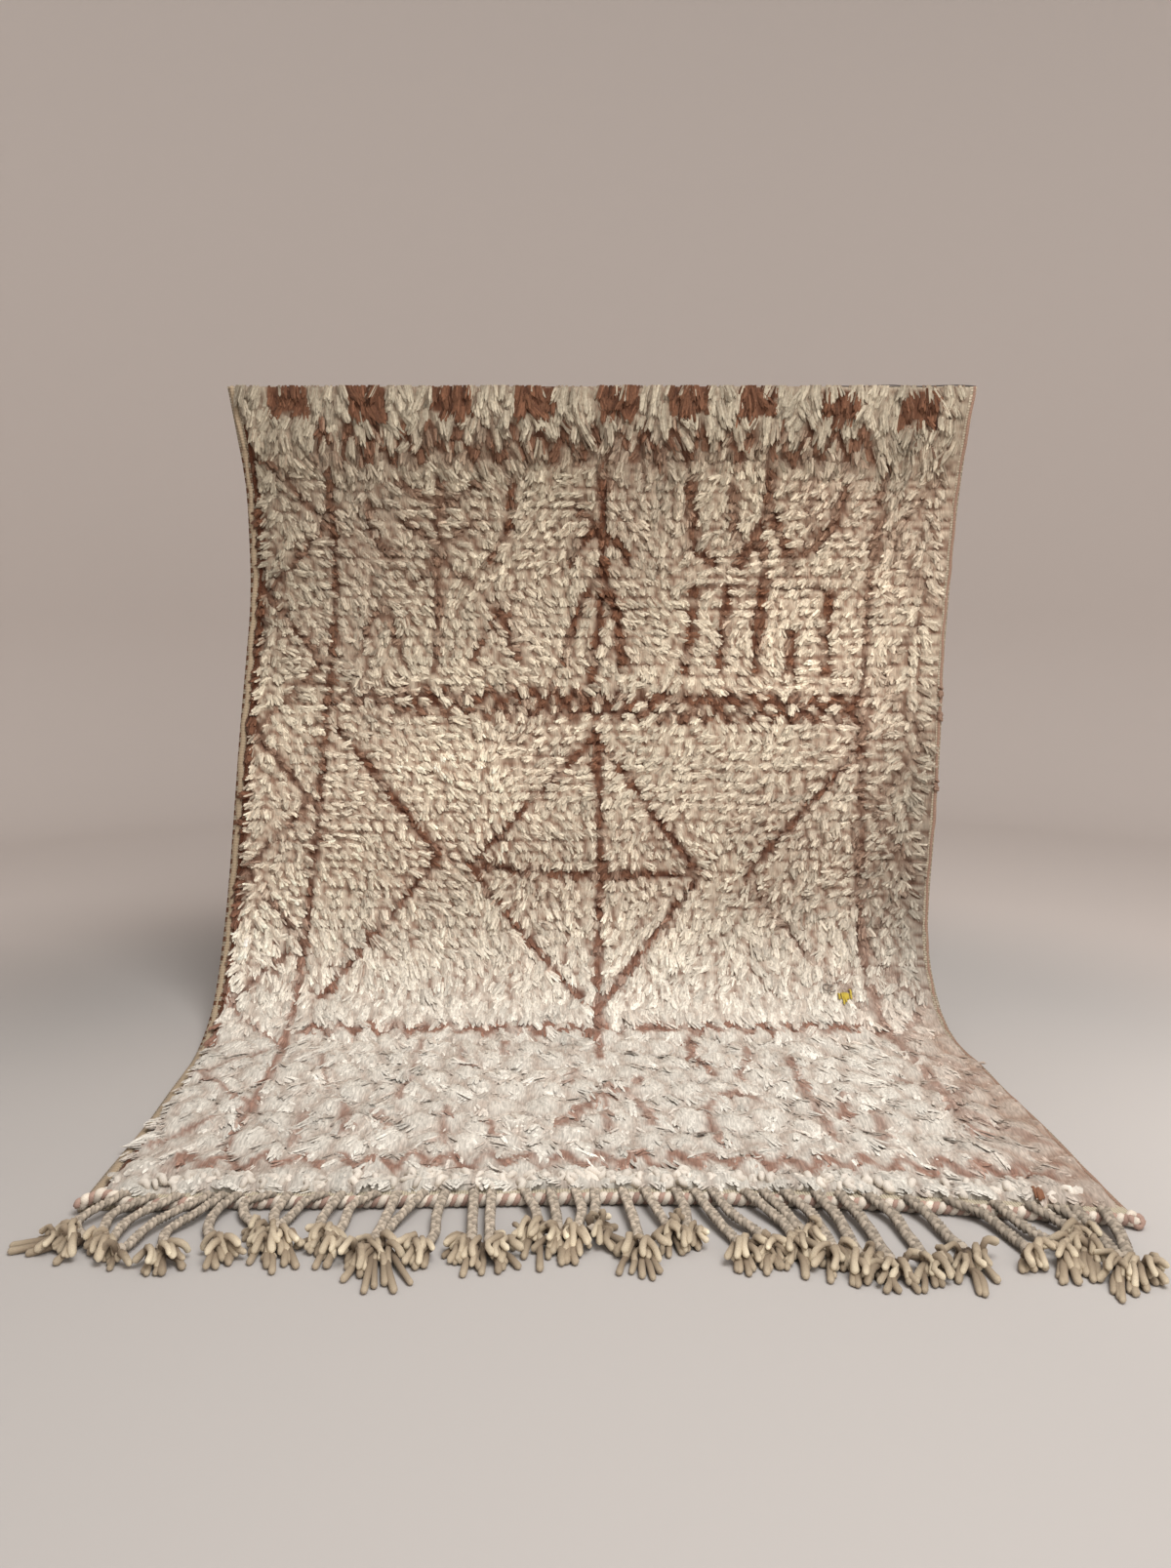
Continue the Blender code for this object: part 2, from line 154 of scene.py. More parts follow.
# Each braid as it lies on the floor, seen from above, in millimetres: its path from the front edge to its
# knot, and places that the yarn ends of its tassel reach.
BRAIDS = [
    ([(-692, -931), (-733, -968), (-709, -1005)], [(-821, -1007), (-787, -1025), (-763, -1020)]),
    ([(-654, -923), (-693, -949), (-691, -998), (-706, -1003)], [(-766, -979), (-755, -1015), (-726, -1074)]),
    ([(-616, -937), (-662, -960), (-672, -1013)], [(-704, -1013), (-680, -1045), (-655, -1078)]),
    ([(-573, -937), (-626, -971), (-643, -1021), (-652, -1033)],
     [(-691, -1030), (-668, -1050), (-645, -1081)]),
    ([(-553, -926), (-579, -949), (-604, -984), (-595, -1031)],
     [(-604, -1081), (-573, -1092), (-546, -1074)]),
    ([(-531, -914), (-550, -933), (-552, -974), (-527, -1021)], [(-509, -1050), (-492, -1074)]),
    ([(-486, -937), (-518, -916), (-506, -949), (-466, -982)], [(-486, -1025), (-455, -1074), (-425, -1081)]),
    ([(-460, -937), (-467, -952), (-453, -984)], [(-420, -1050), (-404, -1078)]),
    ([(-410, -926), (-435, -916), (-447, -949), (-461, -982)], [(-503, -984), (-480, -1055), (-440, -1085)]),
    ([(-384, -946), (-398, -955), (-397, -990)], [(-380, -1025), (-361, -1045)]),
    ([(-335, -937), (-364, -924), (-368, -960), (-371, -998)], [(-407, -1013), (-384, -1074), (-364, -1088)]),
    ([(-305, -946), (-311, -968), (-322, -1026)], [(-360, -1035), (-341, -1097), (-325, -1117)]),
    ([(-267, -931), (-287, -941), (-303, -976), (-311, -1000)],
     [(-303, -1154), (-287, -1150), (-271, -1130)]),
    ([(-236, -917), (-241, -947), (-239, -992), (-246, -1021)],
     [(-279, -1033), (-268, -1074), (-229, -1067)]),
    ([(-194, -937), (-190, -963), (-187, -1010)], [(-212, -1045), (-199, -1085), (-175, -1095)]),
    ([(-169, -926), (-166, -963), (-162, -1013)], [(-153, -1081), (-134, -1088), (-122, -1057)]),
    ([(-121, -923), (-105, -933), (-100, -958)], [(-142, -1035), (-111, -1050), (-72, -1076)]),
    ([(-84, -917), (-76, -938), (-71, -982)], [(-83, -1050), (-67, -1081), (-44, -1045)]),
    ([(-48, -923), (-39, -938), (-47, -982)], [(-79, -1000), (-59, -1062), (-42, -1074)]),
    ([(-21, -905), (-20, -924), (-25, -982)], [(-5, -935), (19, -984), (-4, -1059)]),
    ([(20, -920), (31, -949), (39, -1010)], [(17, -1078), (42, -1095), (60, -1083)]),
    ([(52, -917), (68, -941), (81, -976)], [(68, -1052), (95, -1033), (89, -946)]),
    ([(97, -908), (106, -938), (105, -990)], [(117, -1018), (96, -1052)]),
    ([(124, -926), (145, -955), (164, -998), (173, -1018)], [(160, -1081), (174, -1085), (194, -1055)]),
    ([(149, -937), (171, -949), (198, -982), (211, -1018)], [(202, -1078), (216, -1085)]),
    ([(197, -937), (223, -938), (242, -971), (247, -1005)], [(225, -1074), (239, -1095), (255, -1074)]),
    ([(223, -937), (245, -941), (261, -984)], [(279, -1005), (269, -1078)]),
    ([(253, -923), (280, -944), (291, -998), (294, -1031)], [(272, -1101), (291, -1097), (309, -1064)]),
    ([(298, -940), (316, -960), (321, -1003), (325, -1045)], [(300, -1119), (316, -1130), (349, -1092)]),
    ([(331, -937), (348, -960), (357, -1013), (362, -1060)], [(341, -1137), (361, -1147), (394, -1106)]),
    ([(371, -937), (394, -949), (403, -1003), (410, -1060)], [(394, -1117), (415, -1110), (445, -1071)]),
    ([(424, -940), (443, -949), (455, -995), (466, -1031)], [(432, -1115), (457, -1139), (509, -1101)]),
    ([(482, -954), (522, -949), (539, -990), (552, -1031)], [(528, -1083), (562, -1081)]),
    ([(544, -968), (564, -982), (580, -998), (601, -1018)], [(564, -1097), (572, -1130), (607, -1088)]),
    ([(590, -970), (615, -963), (629, -984)], [(602, -1074), (645, -1015)]),
    ([(624, -968), (644, -963), (641, -1000)], [(608, -1097), (605, -1143)]),
    ([(650, -968), (657, -1003), (662, -1053)], [(615, -1141), (624, -1154), (662, -1124)]),
    ([(688, -984), (685, -1010), (675, -1053), (677, -1065)], [(645, -1143), (669, -1139), (713, -1092)]),
]

# Colours, and how shade turns them: powers of the light for red, green and blue
CREAM = (0.79, 0.705, 0.54)
WHITE = (0.83, 0.80, 0.725)
# Pink of dust, and of painted shade between the locks on the floor
DUST_AND_SHADE_PINK = (0.62, 0.475, 0.385)
CURL = (0.69, 0.64, 0.57)
RUST = (0.225, 0.106, 0.061)
RUST_ROOT = (0.085, 0.030, 0.015)
PALE_RUST = (0.34, 0.19, 0.14)
TAN = (0.35, 0.275, 0.19)
PINK_BROWN = (0.27, 0.175, 0.130)
BRAID_GREY = (0.465, 0.40, 0.325)
TASSEL = (0.69, 0.605, 0.455)
EDGE_WHITE = (0.68, 0.61, 0.52)
EDGE_BROWN = (0.37, 0.25, 0.205)
# Colour of the dark line along part of the top end
DARK_LINE = (0.10, 0.09, 0.085)
YELLOW = (0.55, 0.43, 0.07)
GREY = (0.25, 0.22, 0.19)
GROUND_CREAM = (0.56, 0.48, 0.365)
GROUND_RUST = (0.20, 0.085, 0.045)
STRIP_CREAM = (0.52, 0.46, 0.345)
WEFT = (0.52, 0.455, 0.35, 1)
SHADE_TURN = (-0.28, 0.0, 0.10)
TASSEL_TURN = (0.90, 1.0, 1.05)

# The pattern's zigzags on the flat cloth: both ends, period, reach, half width, strength and phase
ZIGZAGS = [
    ((-0.60, 0.108), (0.56, 0.112), 0.055, 0.034, 0.0075, 0.95, 0),
    ((-0.60, 0.140), (0.56, 0.145), 0.055, 0.008, 0.0065, 0.60, 0),
    ((-0.55, 0.646), (-0.43, 0.646), 0.048, 0.020, 0.007, 0.80, 0),
    ((-0.43, 0.640), (0.57, 0.662), 0.047, 0.016, 0.008, 1.00, 0),
    ((-0.43, 0.668), (0.57, 0.690), 0.047, 0.016, 0.007, 0.95, 1),
    ((-0.55, 1.392), (0.60, 1.387), 0.052, 0.016, 0.010, 1.00, 0),
    ((-0.66, 1.965), (0.70, 1.975), 0.058, 0.022, 0.0085, 0.95, 0),
    ((-0.650, 0.13), (-0.650, 1.90), 0.292, 0.064, 0.0065, 0.85, 0),
    ((0.665, 0.16), (0.665, 1.90), 0.292, 0.050, 0.0085, 0.55, 1),
]

# Its lines: half width in tenths of a millimetre, strength, and the places they run through in millimetres
LINES = [
    # figures of the upper panel
    (70, 0.9, (-55, 240), (-10, 285)),
    (90, 1, (-6, 215), (22, 190)),
    (75, 0.85, (-345, 180), (-350, 340), (-340, 590)),
    (85, 1, (-193, 170), (-194, 276), (-236, 352)),
    (75, 0.8, (-495, 235), (-490, 300), (-440, 345)),
    (70, 0.7, (-400, 400), (-345, 345), (-215, 455)),
    (110, 0.95, (185, 170), (190, 320), (240, 360)),
    (100, 0.85, (270, 200), (285, 300), (300, 365)),
    (110, 0.95, (349, 175), (347, 247), (300, 365)),
    (110, 0.95, (353, 243), (413, 370)),
    (105, 0.9, (507, 200), (492, 285), (402, 360)),
    (80, 0.55, (430, 200), (445, 300)),
    (110, 0.9, (345, 320), (350, 400)),
    # bar and middle line of the lozenge, and the half lozenges at both sides
    (75, 1, (-237, 1008), (0, 1024), (250, 1026)),
    (80, 1, (13, 720), (30, 900), (45, 1030), (50, 1200), (38, 1420), (26, 1534)),
    (72, 1, (-537, 715), (-306, 985), (-533, 1300)),
    (72, 1, (580, 755), (353, 1025)),
    (85, 0.55, (353, 1025), (600, 1330)),
    # lower panel
    (60, 0.85, (27, 1720), (18, 1820), (22, 1865)),
    (110, 0.9, (11, 1722), (-22, 1779), (-60, 1840)),
    (85, 0.85, (62, 1693), (81, 1750), (94, 1840)),
    (80, 0.95, (219, 1430), (202, 1529), (216, 1575), (232, 1618)),
    (80, 0.9, (315, 1465), (306, 1539), (271, 1624)),
    (85, 0.85, (291, 1750), (257, 1702), (220, 1724), (191, 1767), (195, 1907)),
    (85, 0.9, (386, 1529), (378, 1787), (382, 1910)),
    (90, 0.7, (472, 1767), (462, 1910)),
    (90, 0.95, (441, 1707), (416, 1808)),
    (80, 0.6, (560, 1620), (640, 1700)),
    (65, 0.8, (-314, 1438), (-322, 1575), (-337, 1733)),
    (65, 0.75, (-239, 1470), (-231, 1580)),
    (75, 0.8, (-251, 1767), (-248, 1899)),
    (80, 0.85, (-180, 1824), (-164, 1881)),
    (90, 0.85, (-426, 1754), (-412, 1847)),
    (80, 0.75, (-369, 1787), (-335, 1847)),
    (60, 0.65, (-506, 1513), (-463, 1689)),
    (90, 0.75, (-489, 1779), (-486, 1896)),
    (90, 0.9, (-147, 1451), (-156, 1492)),
    (70, 0.7, (-22, 1585), (-31, 1661)),
    (80, 0.8, (93, 1624), (92, 1671)),
]

# Brown checks along the top end, and the edge of the brown stripe at the left
CHECKS = (-0.631, -0.472, -0.301, -0.135, 0.034, 0.176, 0.314, 0.482, 0.639)
CHECK_HALF, CHECK_LENGTH, CHECK_DROP = 0.040, 0.054, 0.004
STRIPE = -0.719

# Painted light and shade, partly dirt: where the wool is duller or brighter, towards which side and from
# how far out, over what distance it comes on, and how much it adds to the brightness at which runs
SHADES = [
    (-1, 0.34, 0.36, [0.05, 0.2, 0.5, 0.8, 1.3, 1.5], [-0.05, -0.21, -0.14, 0, 0, -0.06]),
    (1, 0.56, 0.16, [0.1, 0.3, 1.1, 1.4], [0, -0.08, -0.44, -0.16]),
    (1, 0.05, 0.30, [0.1, 0.2, 0.6, 0.8], [0, 0.21, 0.21, 0]),
    (-1, 0.02, 0.25, [0.60, 0.78, 1.12, 1.30], [0, 0.10, 0.10, 0]),
    (1, 0.05, 0.30, [0.65, 0.80, 1.10, 1.25], [0, -0.06, -0.06, 0]),
]

# Each strand has two rings of three points and a tip
STRAND_FACES = np.array([(0, 4, 1), (0, 3, 4), (1, 5, 2), (1, 4, 5), (2, 3, 0), (2, 5, 3),
                         (3, 6, 4), (4, 6, 5), (5, 6, 3)])


def smooth_curve(points, steps):
    """A Catmull-Rom curve through rows of numbers, as an array with its given rows among its own."""
    rows = np.array(points, dtype=float)
    padded = np.vstack([2 * rows[0] - rows[1], rows, 2 * rows[-1] - rows[-2]])
    curve = []
    for before, start, end, after in zip(padded, padded[1:], padded[2:], padded[3:]):
        for t in np.arange(steps) / steps:
            bend = 2 * before - 5 * start + 4 * end - after
            turn = 3 * start - before - 3 * end + after
            curve.append(start + 0.5 * t * (end - before + t * (bend + t * turn)))
    curve.append(rows[-1])
    return np.array(curve)


BOW = smooth_curve(FRONT_END, CURVE_STEPS)


def front_end(x):
    return np.interp(x, BOW[:, 0], BOW[:, 1])


def unit(vectors):
    return vectors / np.maximum(np.linalg.norm(vectors, axis=-1, keepdims=True), 1e-12)


def scaled(vectors, amounts):
    return vectors * np.asarray(amounts)[..., None]


def turned(ahead, aside, angle):
    """Rows of vectors, turned by an angle from the way ahead to the way aside."""
    return scaled(ahead, np.cos(angle)) + scaled(aside, np.sin(angle))


def axes_along(path, up=(0, 0, 1)):
    """The ways ahead, to the side and up at each point of a path."""
    ahead = unit(np.gradient(path, axis=0))
    side = unit(np.cross(np.broadcast_to(up, path.shape), ahead))
    return ahead, side, np.cross(ahead, side)


def keep_above(points, lowest):
    points[:, 2] = np.maximum(points[:, 2], lowest)


def mix(low, high, share):
    share = np.asarray(share)[..., None]
    return np.asarray(low) * (1 - share) + np.asarray(high) * share


def fractal(across, run, scale, seed):
    return np.array([noise.noise(Vector((a * scale, r * scale, seed))) for a, r in zip(across, run)])


def grid(across, run):
    """All places of a grid, row by row."""
    run, across = np.meshgrid(run, across, indexing="ij")
    return across.ravel(), run.ravel()


def search_tree(across, run):
    """A tree that finds the nearest of some places."""
    tree = KDTree(len(across))
    for index, (a, r) in enumerate(zip(across, run)):
        tree.insert((a, r, 0), index)
    tree.balance()
    return tree


class Drape:
    """The ground's middle surface, by the place across the flat cloth and the run down it from the top."""

    def __init__(self):
        curve = smooth_curve(SECTIONS, CURVE_STEPS)
        curve[:, 0] = np.maximum(curve[:, 0], SECTIONS[-1].height)
        steps = np.hypot(np.diff(curve[:, 0]), np.diff(curve[:, 1]))
        self.curve = curve
        self.run = np.concatenate([[0], np.cumsum(steps)])
        self.length = float(self.run[-1])
        self.slope = unit(np.gradient(curve[:, :2], self.run, axis=0))

    def at(self, across, run):
        """Points, and the ways down the rug and out of the pile, for arrays of places."""
        across, run = np.broadcast_arrays(np.asarray(across, float), np.asarray(run, float))
        height, behind, left, right = (np.interp(run, self.run, column) for column in self.curve.T)
        x = (across / HALF_WIDTH + 1) / 2 * (left + right) - left
        share = np.clip((DRAWN_FROM - behind) / (DRAWN_FROM - SECTIONS[-1].behind), 0, 1)
        y = behind + share**2 * (front_end(x) - SECTIONS[-1].behind)
        fall, back = (np.interp(run, self.run, column) for column in self.slope.T)
        zero = np.zeros_like(x)
        point = np.stack([x, y, height + FLOOR], -1)
        along = unit(np.stack([zero, back, fall], -1))
        facing = unit(np.stack([zero, fall, -back], -1))
        return point, along, facing

    def raised(self, across, run, high):
        """Points at a height out of the pile's side."""
        point, _, facing = self.at(across, run)
        return point + scaled(facing, high)


# ---------------------------------------------------------------- pattern

def zigzag(start, end, period, reach, width, strength, phase):
    """Strokes of a zigzag from one place to another; reach is how far its points stand to each side."""
    start, end = np.array(start, float), np.array(end, float)
    length = np.linalg.norm(end - start)
    way = (end - start) / length
    side = np.array([-way[1], way[0]])
    count = max(2, round(2 * length / period))
    places = np.linspace(0, length, count + 1)
    signs = np.where((np.arange(count + 1) + phase) % 2 == 0, 1, -1)
    corners = start + way * places[:, None] + side * (reach * signs)[:, None]
    return path(corners, width, strength)


def path(points, width, strength):
    return [(*a, *b, width, strength) for a, b in zip(points, points[1:])]


def wavy(across, start, end, sway, wave, width, strength):
    """A line down the rug that strays a little to both sides."""
    runs = np.arange(start, end + 0.03, 0.04)
    return path([(across + sway * math.sin(run * wave), run) for run in runs], width, strength)


def lozenge(top, left, right, bottom, width, strength):
    return path([left, top, right, bottom, left], width, strength)


def tree(across, start, end, branches, width, strength):
    """A trunk with pairs of drooping branches, each given by its run, its reach and its drop."""
    strokes = path([(across, start), (across + 0.01, (start + end) / 2), (across, end)], width, strength)
    for run, reach, drop in branches:
        for side in (-1, 1):
            elbow = (across + side * reach * 0.75, run + drop * 0.5)
            strokes += path([(across, run), elbow, (across + side * reach, run + drop)], width, strength)
    return strokes


def comb(left, right, run, drop, teeth, short, width, strength):
    """A thin bar with teeth below it, slightly splayed; the tooth with the number short starts lower."""
    strokes = path([(left, run + 0.02), (left + 0.03, run), (right - 0.03, run), (right, run + 0.02)],
                   width * 0.45, strength * 0.8)
    middle = (left + right) / 2
    for number, tooth in enumerate(np.linspace(left, right, teeth)):
        top = run + 0.01 + 0.09 * (number == short)
        strokes += path([(tooth * 0.97 + middle * 0.03, top), (tooth, run + drop)], width, strength)
    return strokes


def chevrons(across, start, half, drop, width, strength, count=1, pitch=0.0):
    """Open angles one below the other, points up."""
    strokes = []
    for run in start + pitch * np.arange(count):
        low = run + drop
        strokes += path([(across - half, low), (across, run), (across + half, low)], width, strength)
    return strokes


def pattern():
    """Strokes of the pattern on the flat cloth: both ends, half width and strength."""
    strokes = []
    for row in ZIGZAGS:
        strokes += zigzag(*row)
    for width, strength, *places in LINES:
        strokes += path(np.array(places) / 1000, width / 10000, strength)
    strokes += wavy(-0.576, 0.16, 1.93, 0.010, 2.6, 0.0075, 0.95)
    strokes += wavy(0.600, 0.15, 1.88, -0.022, 3.0, 0.0085, 0.80)
    strokes += tree(-0.004, 0.160, 0.61, [(0.285, 0.060, 0.07), (0.375, 0.062, 0.20)], 0.009, 1.0)
    strokes += chevrons(-0.345, 0.245, 0.085, -0.06, 0.007, 0.75, count=2, pitch=0.080)
    strokes += chevrons(-0.215, 0.455, 0.046, 0.105, 0.0085, 0.95)
    strokes += chevrons(-0.465, 0.430, 0.050, 0.13, 0.0075, 0.80)
    strokes += comb(0.195, 0.495, 0.408, 0.180, 5, 3, 0.0105, 1.0)
    strokes += lozenge((0.013, 0.730), (-0.237, 1.005), (0.253, 1.030), (0.040, 1.335), 0.0072, 1.0)
    strokes += lozenge((0.030, 1.655), (0.010, 1.685), (0.046, 1.688), (0.029, 1.718), 0.0070, 0.95)
    return np.array(strokes)


def rust_at(across, run, strokes):
    """How brown the wool is at places on the flat cloth, from 0 to 1."""
    brown = np.zeros_like(across)
    stripe = (across < STRIPE) & (run > 0.10) & (run < 1.45)
    worn = np.clip(1.05 + 1.1 * fractal(across, run, 26, 63), 0.35, 1)
    wander = 0.0055 * fractal(across, run, 38, 51), 0.0055 * fractal(across, run, 38, 77)
    across, run = across + wander[0], run + wander[1]
    slimmer = np.interp(run, [1.40, 1.50], [0, 0.0020])
    for a0, r0, a1, r1, half, strength in strokes:
        near = ((across > min(a0, a1) - 0.03) & (across < max(a0, a1) + 0.03)
                & (run > min(r0, r1) - 0.03) & (run < max(r0, r1) + 0.03))
        if not near.any():
            continue
        x, y = across[near] - a0, run[near] - r0
        dx, dy = a1 - a0, r1 - r0
        share = np.clip((x * dx + y * dy) / (dx * dx + dy * dy), 0, 1)
        away = np.hypot(x - share * dx, y - share * dy)
        cover = np.clip((half + 0.0046 - slimmer[near] - away) / 0.005, 0, 1) * strength
        brown[near] = np.maximum(brown[near], cover)
    brown *= worn
    for index, middle in enumerate(CHECKS):
        drop = CHECK_DROP * max(0, index - 5)
        brown[(np.abs(across - middle) < CHECK_HALF) & (run > drop) & (run < CHECK_LENGTH + 1.5 * drop)] = 1
    brown[stripe] = 1
    return brown


# ---------------------------------------------------------------- meshes

def add_object(name, data):
    made = bpy.data.objects.new(name, data)
    bpy.context.collection.objects.link(made)
    return made


def make_piece(name, points, triangles, colours, material, normals=None):
    mesh = bpy.data.meshes.new(name)
    mesh.vertices.add(len(points))
    mesh.vertices.foreach_set("co", np.ascontiguousarray(points, dtype=np.float32).ravel())
    mesh.loops.add(triangles.size)
    mesh.loops.foreach_set("vertex_index", np.ascontiguousarray(triangles, dtype=np.int32).ravel())
    mesh.polygons.add(len(triangles))
    mesh.polygons.foreach_set("loop_start", np.arange(0, triangles.size, 3, dtype=np.int32))
    mesh.update(calc_edges=True)
    mesh.shade_smooth()
    if normals is not None:
        mesh.normals_split_custom_set_from_vertices(normals)
    layer = mesh.color_attributes.new("wool", "FLOAT_COLOR", "POINT")
    rgba = np.ones((len(points), 4), dtype=np.float32)
    rgba[:, :3] = colours
    layer.data.foreach_set("color", rgba.ravel())
    mesh.materials.append(material)
    return add_object(name, mesh)


def grid_faces(columns, rows, start=0):
    """Triangles over a grid of points that runs row by row."""
    index = start + np.arange(columns * rows).reshape(rows, columns)
    corners = index[:-1, :-1], index[:-1, 1:], index[1:, 1:], index[1:, :-1]
    a, b, c, d = (corner.ravel() for corner in corners)
    return np.concatenate([np.stack([a, d, c], 1), np.stack([a, c, b], 1)])


def grid_rim(columns, rows, start=0):
    index = start + np.arange(columns * rows).reshape(rows, columns)
    return np.concatenate([index[0], index[1:, -1], index[-1, -2::-1], index[-2:0:-1, 0]])


# ---------------------------------------------------------------- pile

def zone_at(run):
    """What the zone table says at each run, by the name of its column."""
    return {name: np.interp(run, [z.run for z in ZONES], [getattr(z, name) for z in ZONES])
            for name in Zone._fields[1:]}


def plant_tufts(drape, generator):
    """Places of the tufts on the flat cloth: knotted rows that wander a little."""
    across = []
    run = []
    count = int(2 * ROW_HALF / TUFT_PITCH)
    end = drape.length - PLAIN_END - 0.005
    for index, row in enumerate(np.arange(0.006, end, ROW_PITCH)):
        places = -ROW_HALF + (np.arange(count) + generator.uniform(0.25, 0.75)) * TUFT_PITCH
        level = np.full(count, row)
        places += 0.010 * fractal(places, level, 14, index * 0.37)
        across.append(places + generator.normal(0, 0.0048, count))
        run.append(row + 0.010 * fractal(places, level, 7, 31) + generator.normal(0, 0.0026, count))
    across, run = np.concatenate(across), np.concatenate(run)
    return np.clip(across, TUFT_LEFT, TUFT_RIGHT), np.clip(run, TUFT_TOP, end)


def wool_colours(brown, white, dust_and_shade, value):
    """The wool's colour in full light, by brownness, whiteness, pink of dust and painted shade, and
    brightness.
    """
    cream = mix(mix(CREAM, WHITE, white), DUST_AND_SHADE_PINK, dust_and_shade)
    rust = mix(RUST, PALE_RUST, np.clip(white * 1.1 - 0.1, 0, 1))
    return mix(scaled(cream, value), rust * np.maximum(value, 0.1)[:, None] ** 0.35, brown)


def shaded(colours, light):
    """Colours dimmed to a share of their light: the deeper in its own shade, the redder the wool."""
    return colours * light[:, None] ** (1 + np.outer(1 - np.minimum(light, 1), SHADE_TURN))


def dusty_at(across, run):
    """How pink with dust the cream is: in soft patches, at the upper right, and along the lower right rim."""
    patches = 0.5 + 1.3 * fractal(across, run, 5.0, 90)
    corner = np.interp(across, [0.3, 0.65], [0, 0.14]) * np.interp(run, [0.7, 1.2], [1, 0.2])
    rim = np.interp(across, [0.56, 0.72], [0, 0.7]) * np.interp(run, [1.25, 1.45], [0, 1])
    strength = np.interp(run, [0.06, 0.12, 1.2, 1.45], [0.1, 1, 0.6, 0.05])
    return rim + np.clip(patches * 0.22 + corner, 0, 0.6) * strength


def edge_shade(across, run):
    """How bright the wool is beside the light of its zone: painted light and shade, partly dirt, from SHADES.
    """
    shade = 1
    for side, start, reach, runs, amounts in SHADES:
        shade = shade + np.clip((side * across - start) / reach, 0, 1) * np.interp(run, runs, amounts)
    return shade


# The lock that the wool at a place falls into: the place's offset from the lock's middle and how near it is
# to the border, the lock's turn and tone, and how far the wool there is gathered into locks at all
Lock = namedtuple("Lock", "offset border turn tone gathered")


class Clumps:
    """The larger locks that the long pile on the floor falls into."""

    def __init__(self, drape, generator):
        centres = []
        for row, run in enumerate(np.arange(1.26, drape.length, CLUMP_RUN)):
            for across in np.arange(-0.76 + row % 2 * CLUMP_ACROSS / 2, 0.77, CLUMP_ACROSS):
                centres.append((across / CLUMP_ACROSS + generator.uniform(-0.35, 0.35),
                                run / CLUMP_RUN + generator.uniform(-0.35, 0.35)))
        self.centres = np.array(centres)
        self.turns = generator.normal(0, 1, len(centres))
        self.tones = generator.normal(0, 1, len(centres))
        self.tree = search_tree(*self.centres.T)

    def at(self, across, run):
        """The locks at arrays of places."""
        u = across / CLUMP_ACROSS + 0.16 * fractal(across, run, 33, 5)
        v = run / CLUMP_RUN + 0.16 * fractal(across, run, 33, 15)
        hits = [self.tree.find_n((a, r, 0), 2) for a, r in zip(u, v)]
        first = np.array([hit[0][1] for hit in hits])
        gap = np.array([hit[1][2] - hit[0][2] for hit in hits])
        middle_u, middle_v = self.centres[first].T
        offset = np.stack([(u - middle_u) * CLUMP_ACROSS, (v - middle_v) * CLUMP_RUN], -1)
        border = np.clip(1 - gap / 0.5, 0, 1)
        return Lock(offset, border, self.turns[first], self.tones[first], np.interp(run, GATHERS, [0, 1]))


def lock_rise(lock):
    """How far the body of the pile stands up in the middle of a lock."""
    away = (lock.offset[:, 0] / CLUMP_ACROSS) ** 2 + (lock.offset[:, 1] / CLUMP_RUN) ** 2
    return CLUMP_RISE * lock.gathered * (0.55 - 2.2 * away)


def strands(values):
    """What the tufts have, repeated for the strands of each."""
    return np.repeat(values, STRANDS, axis=0)


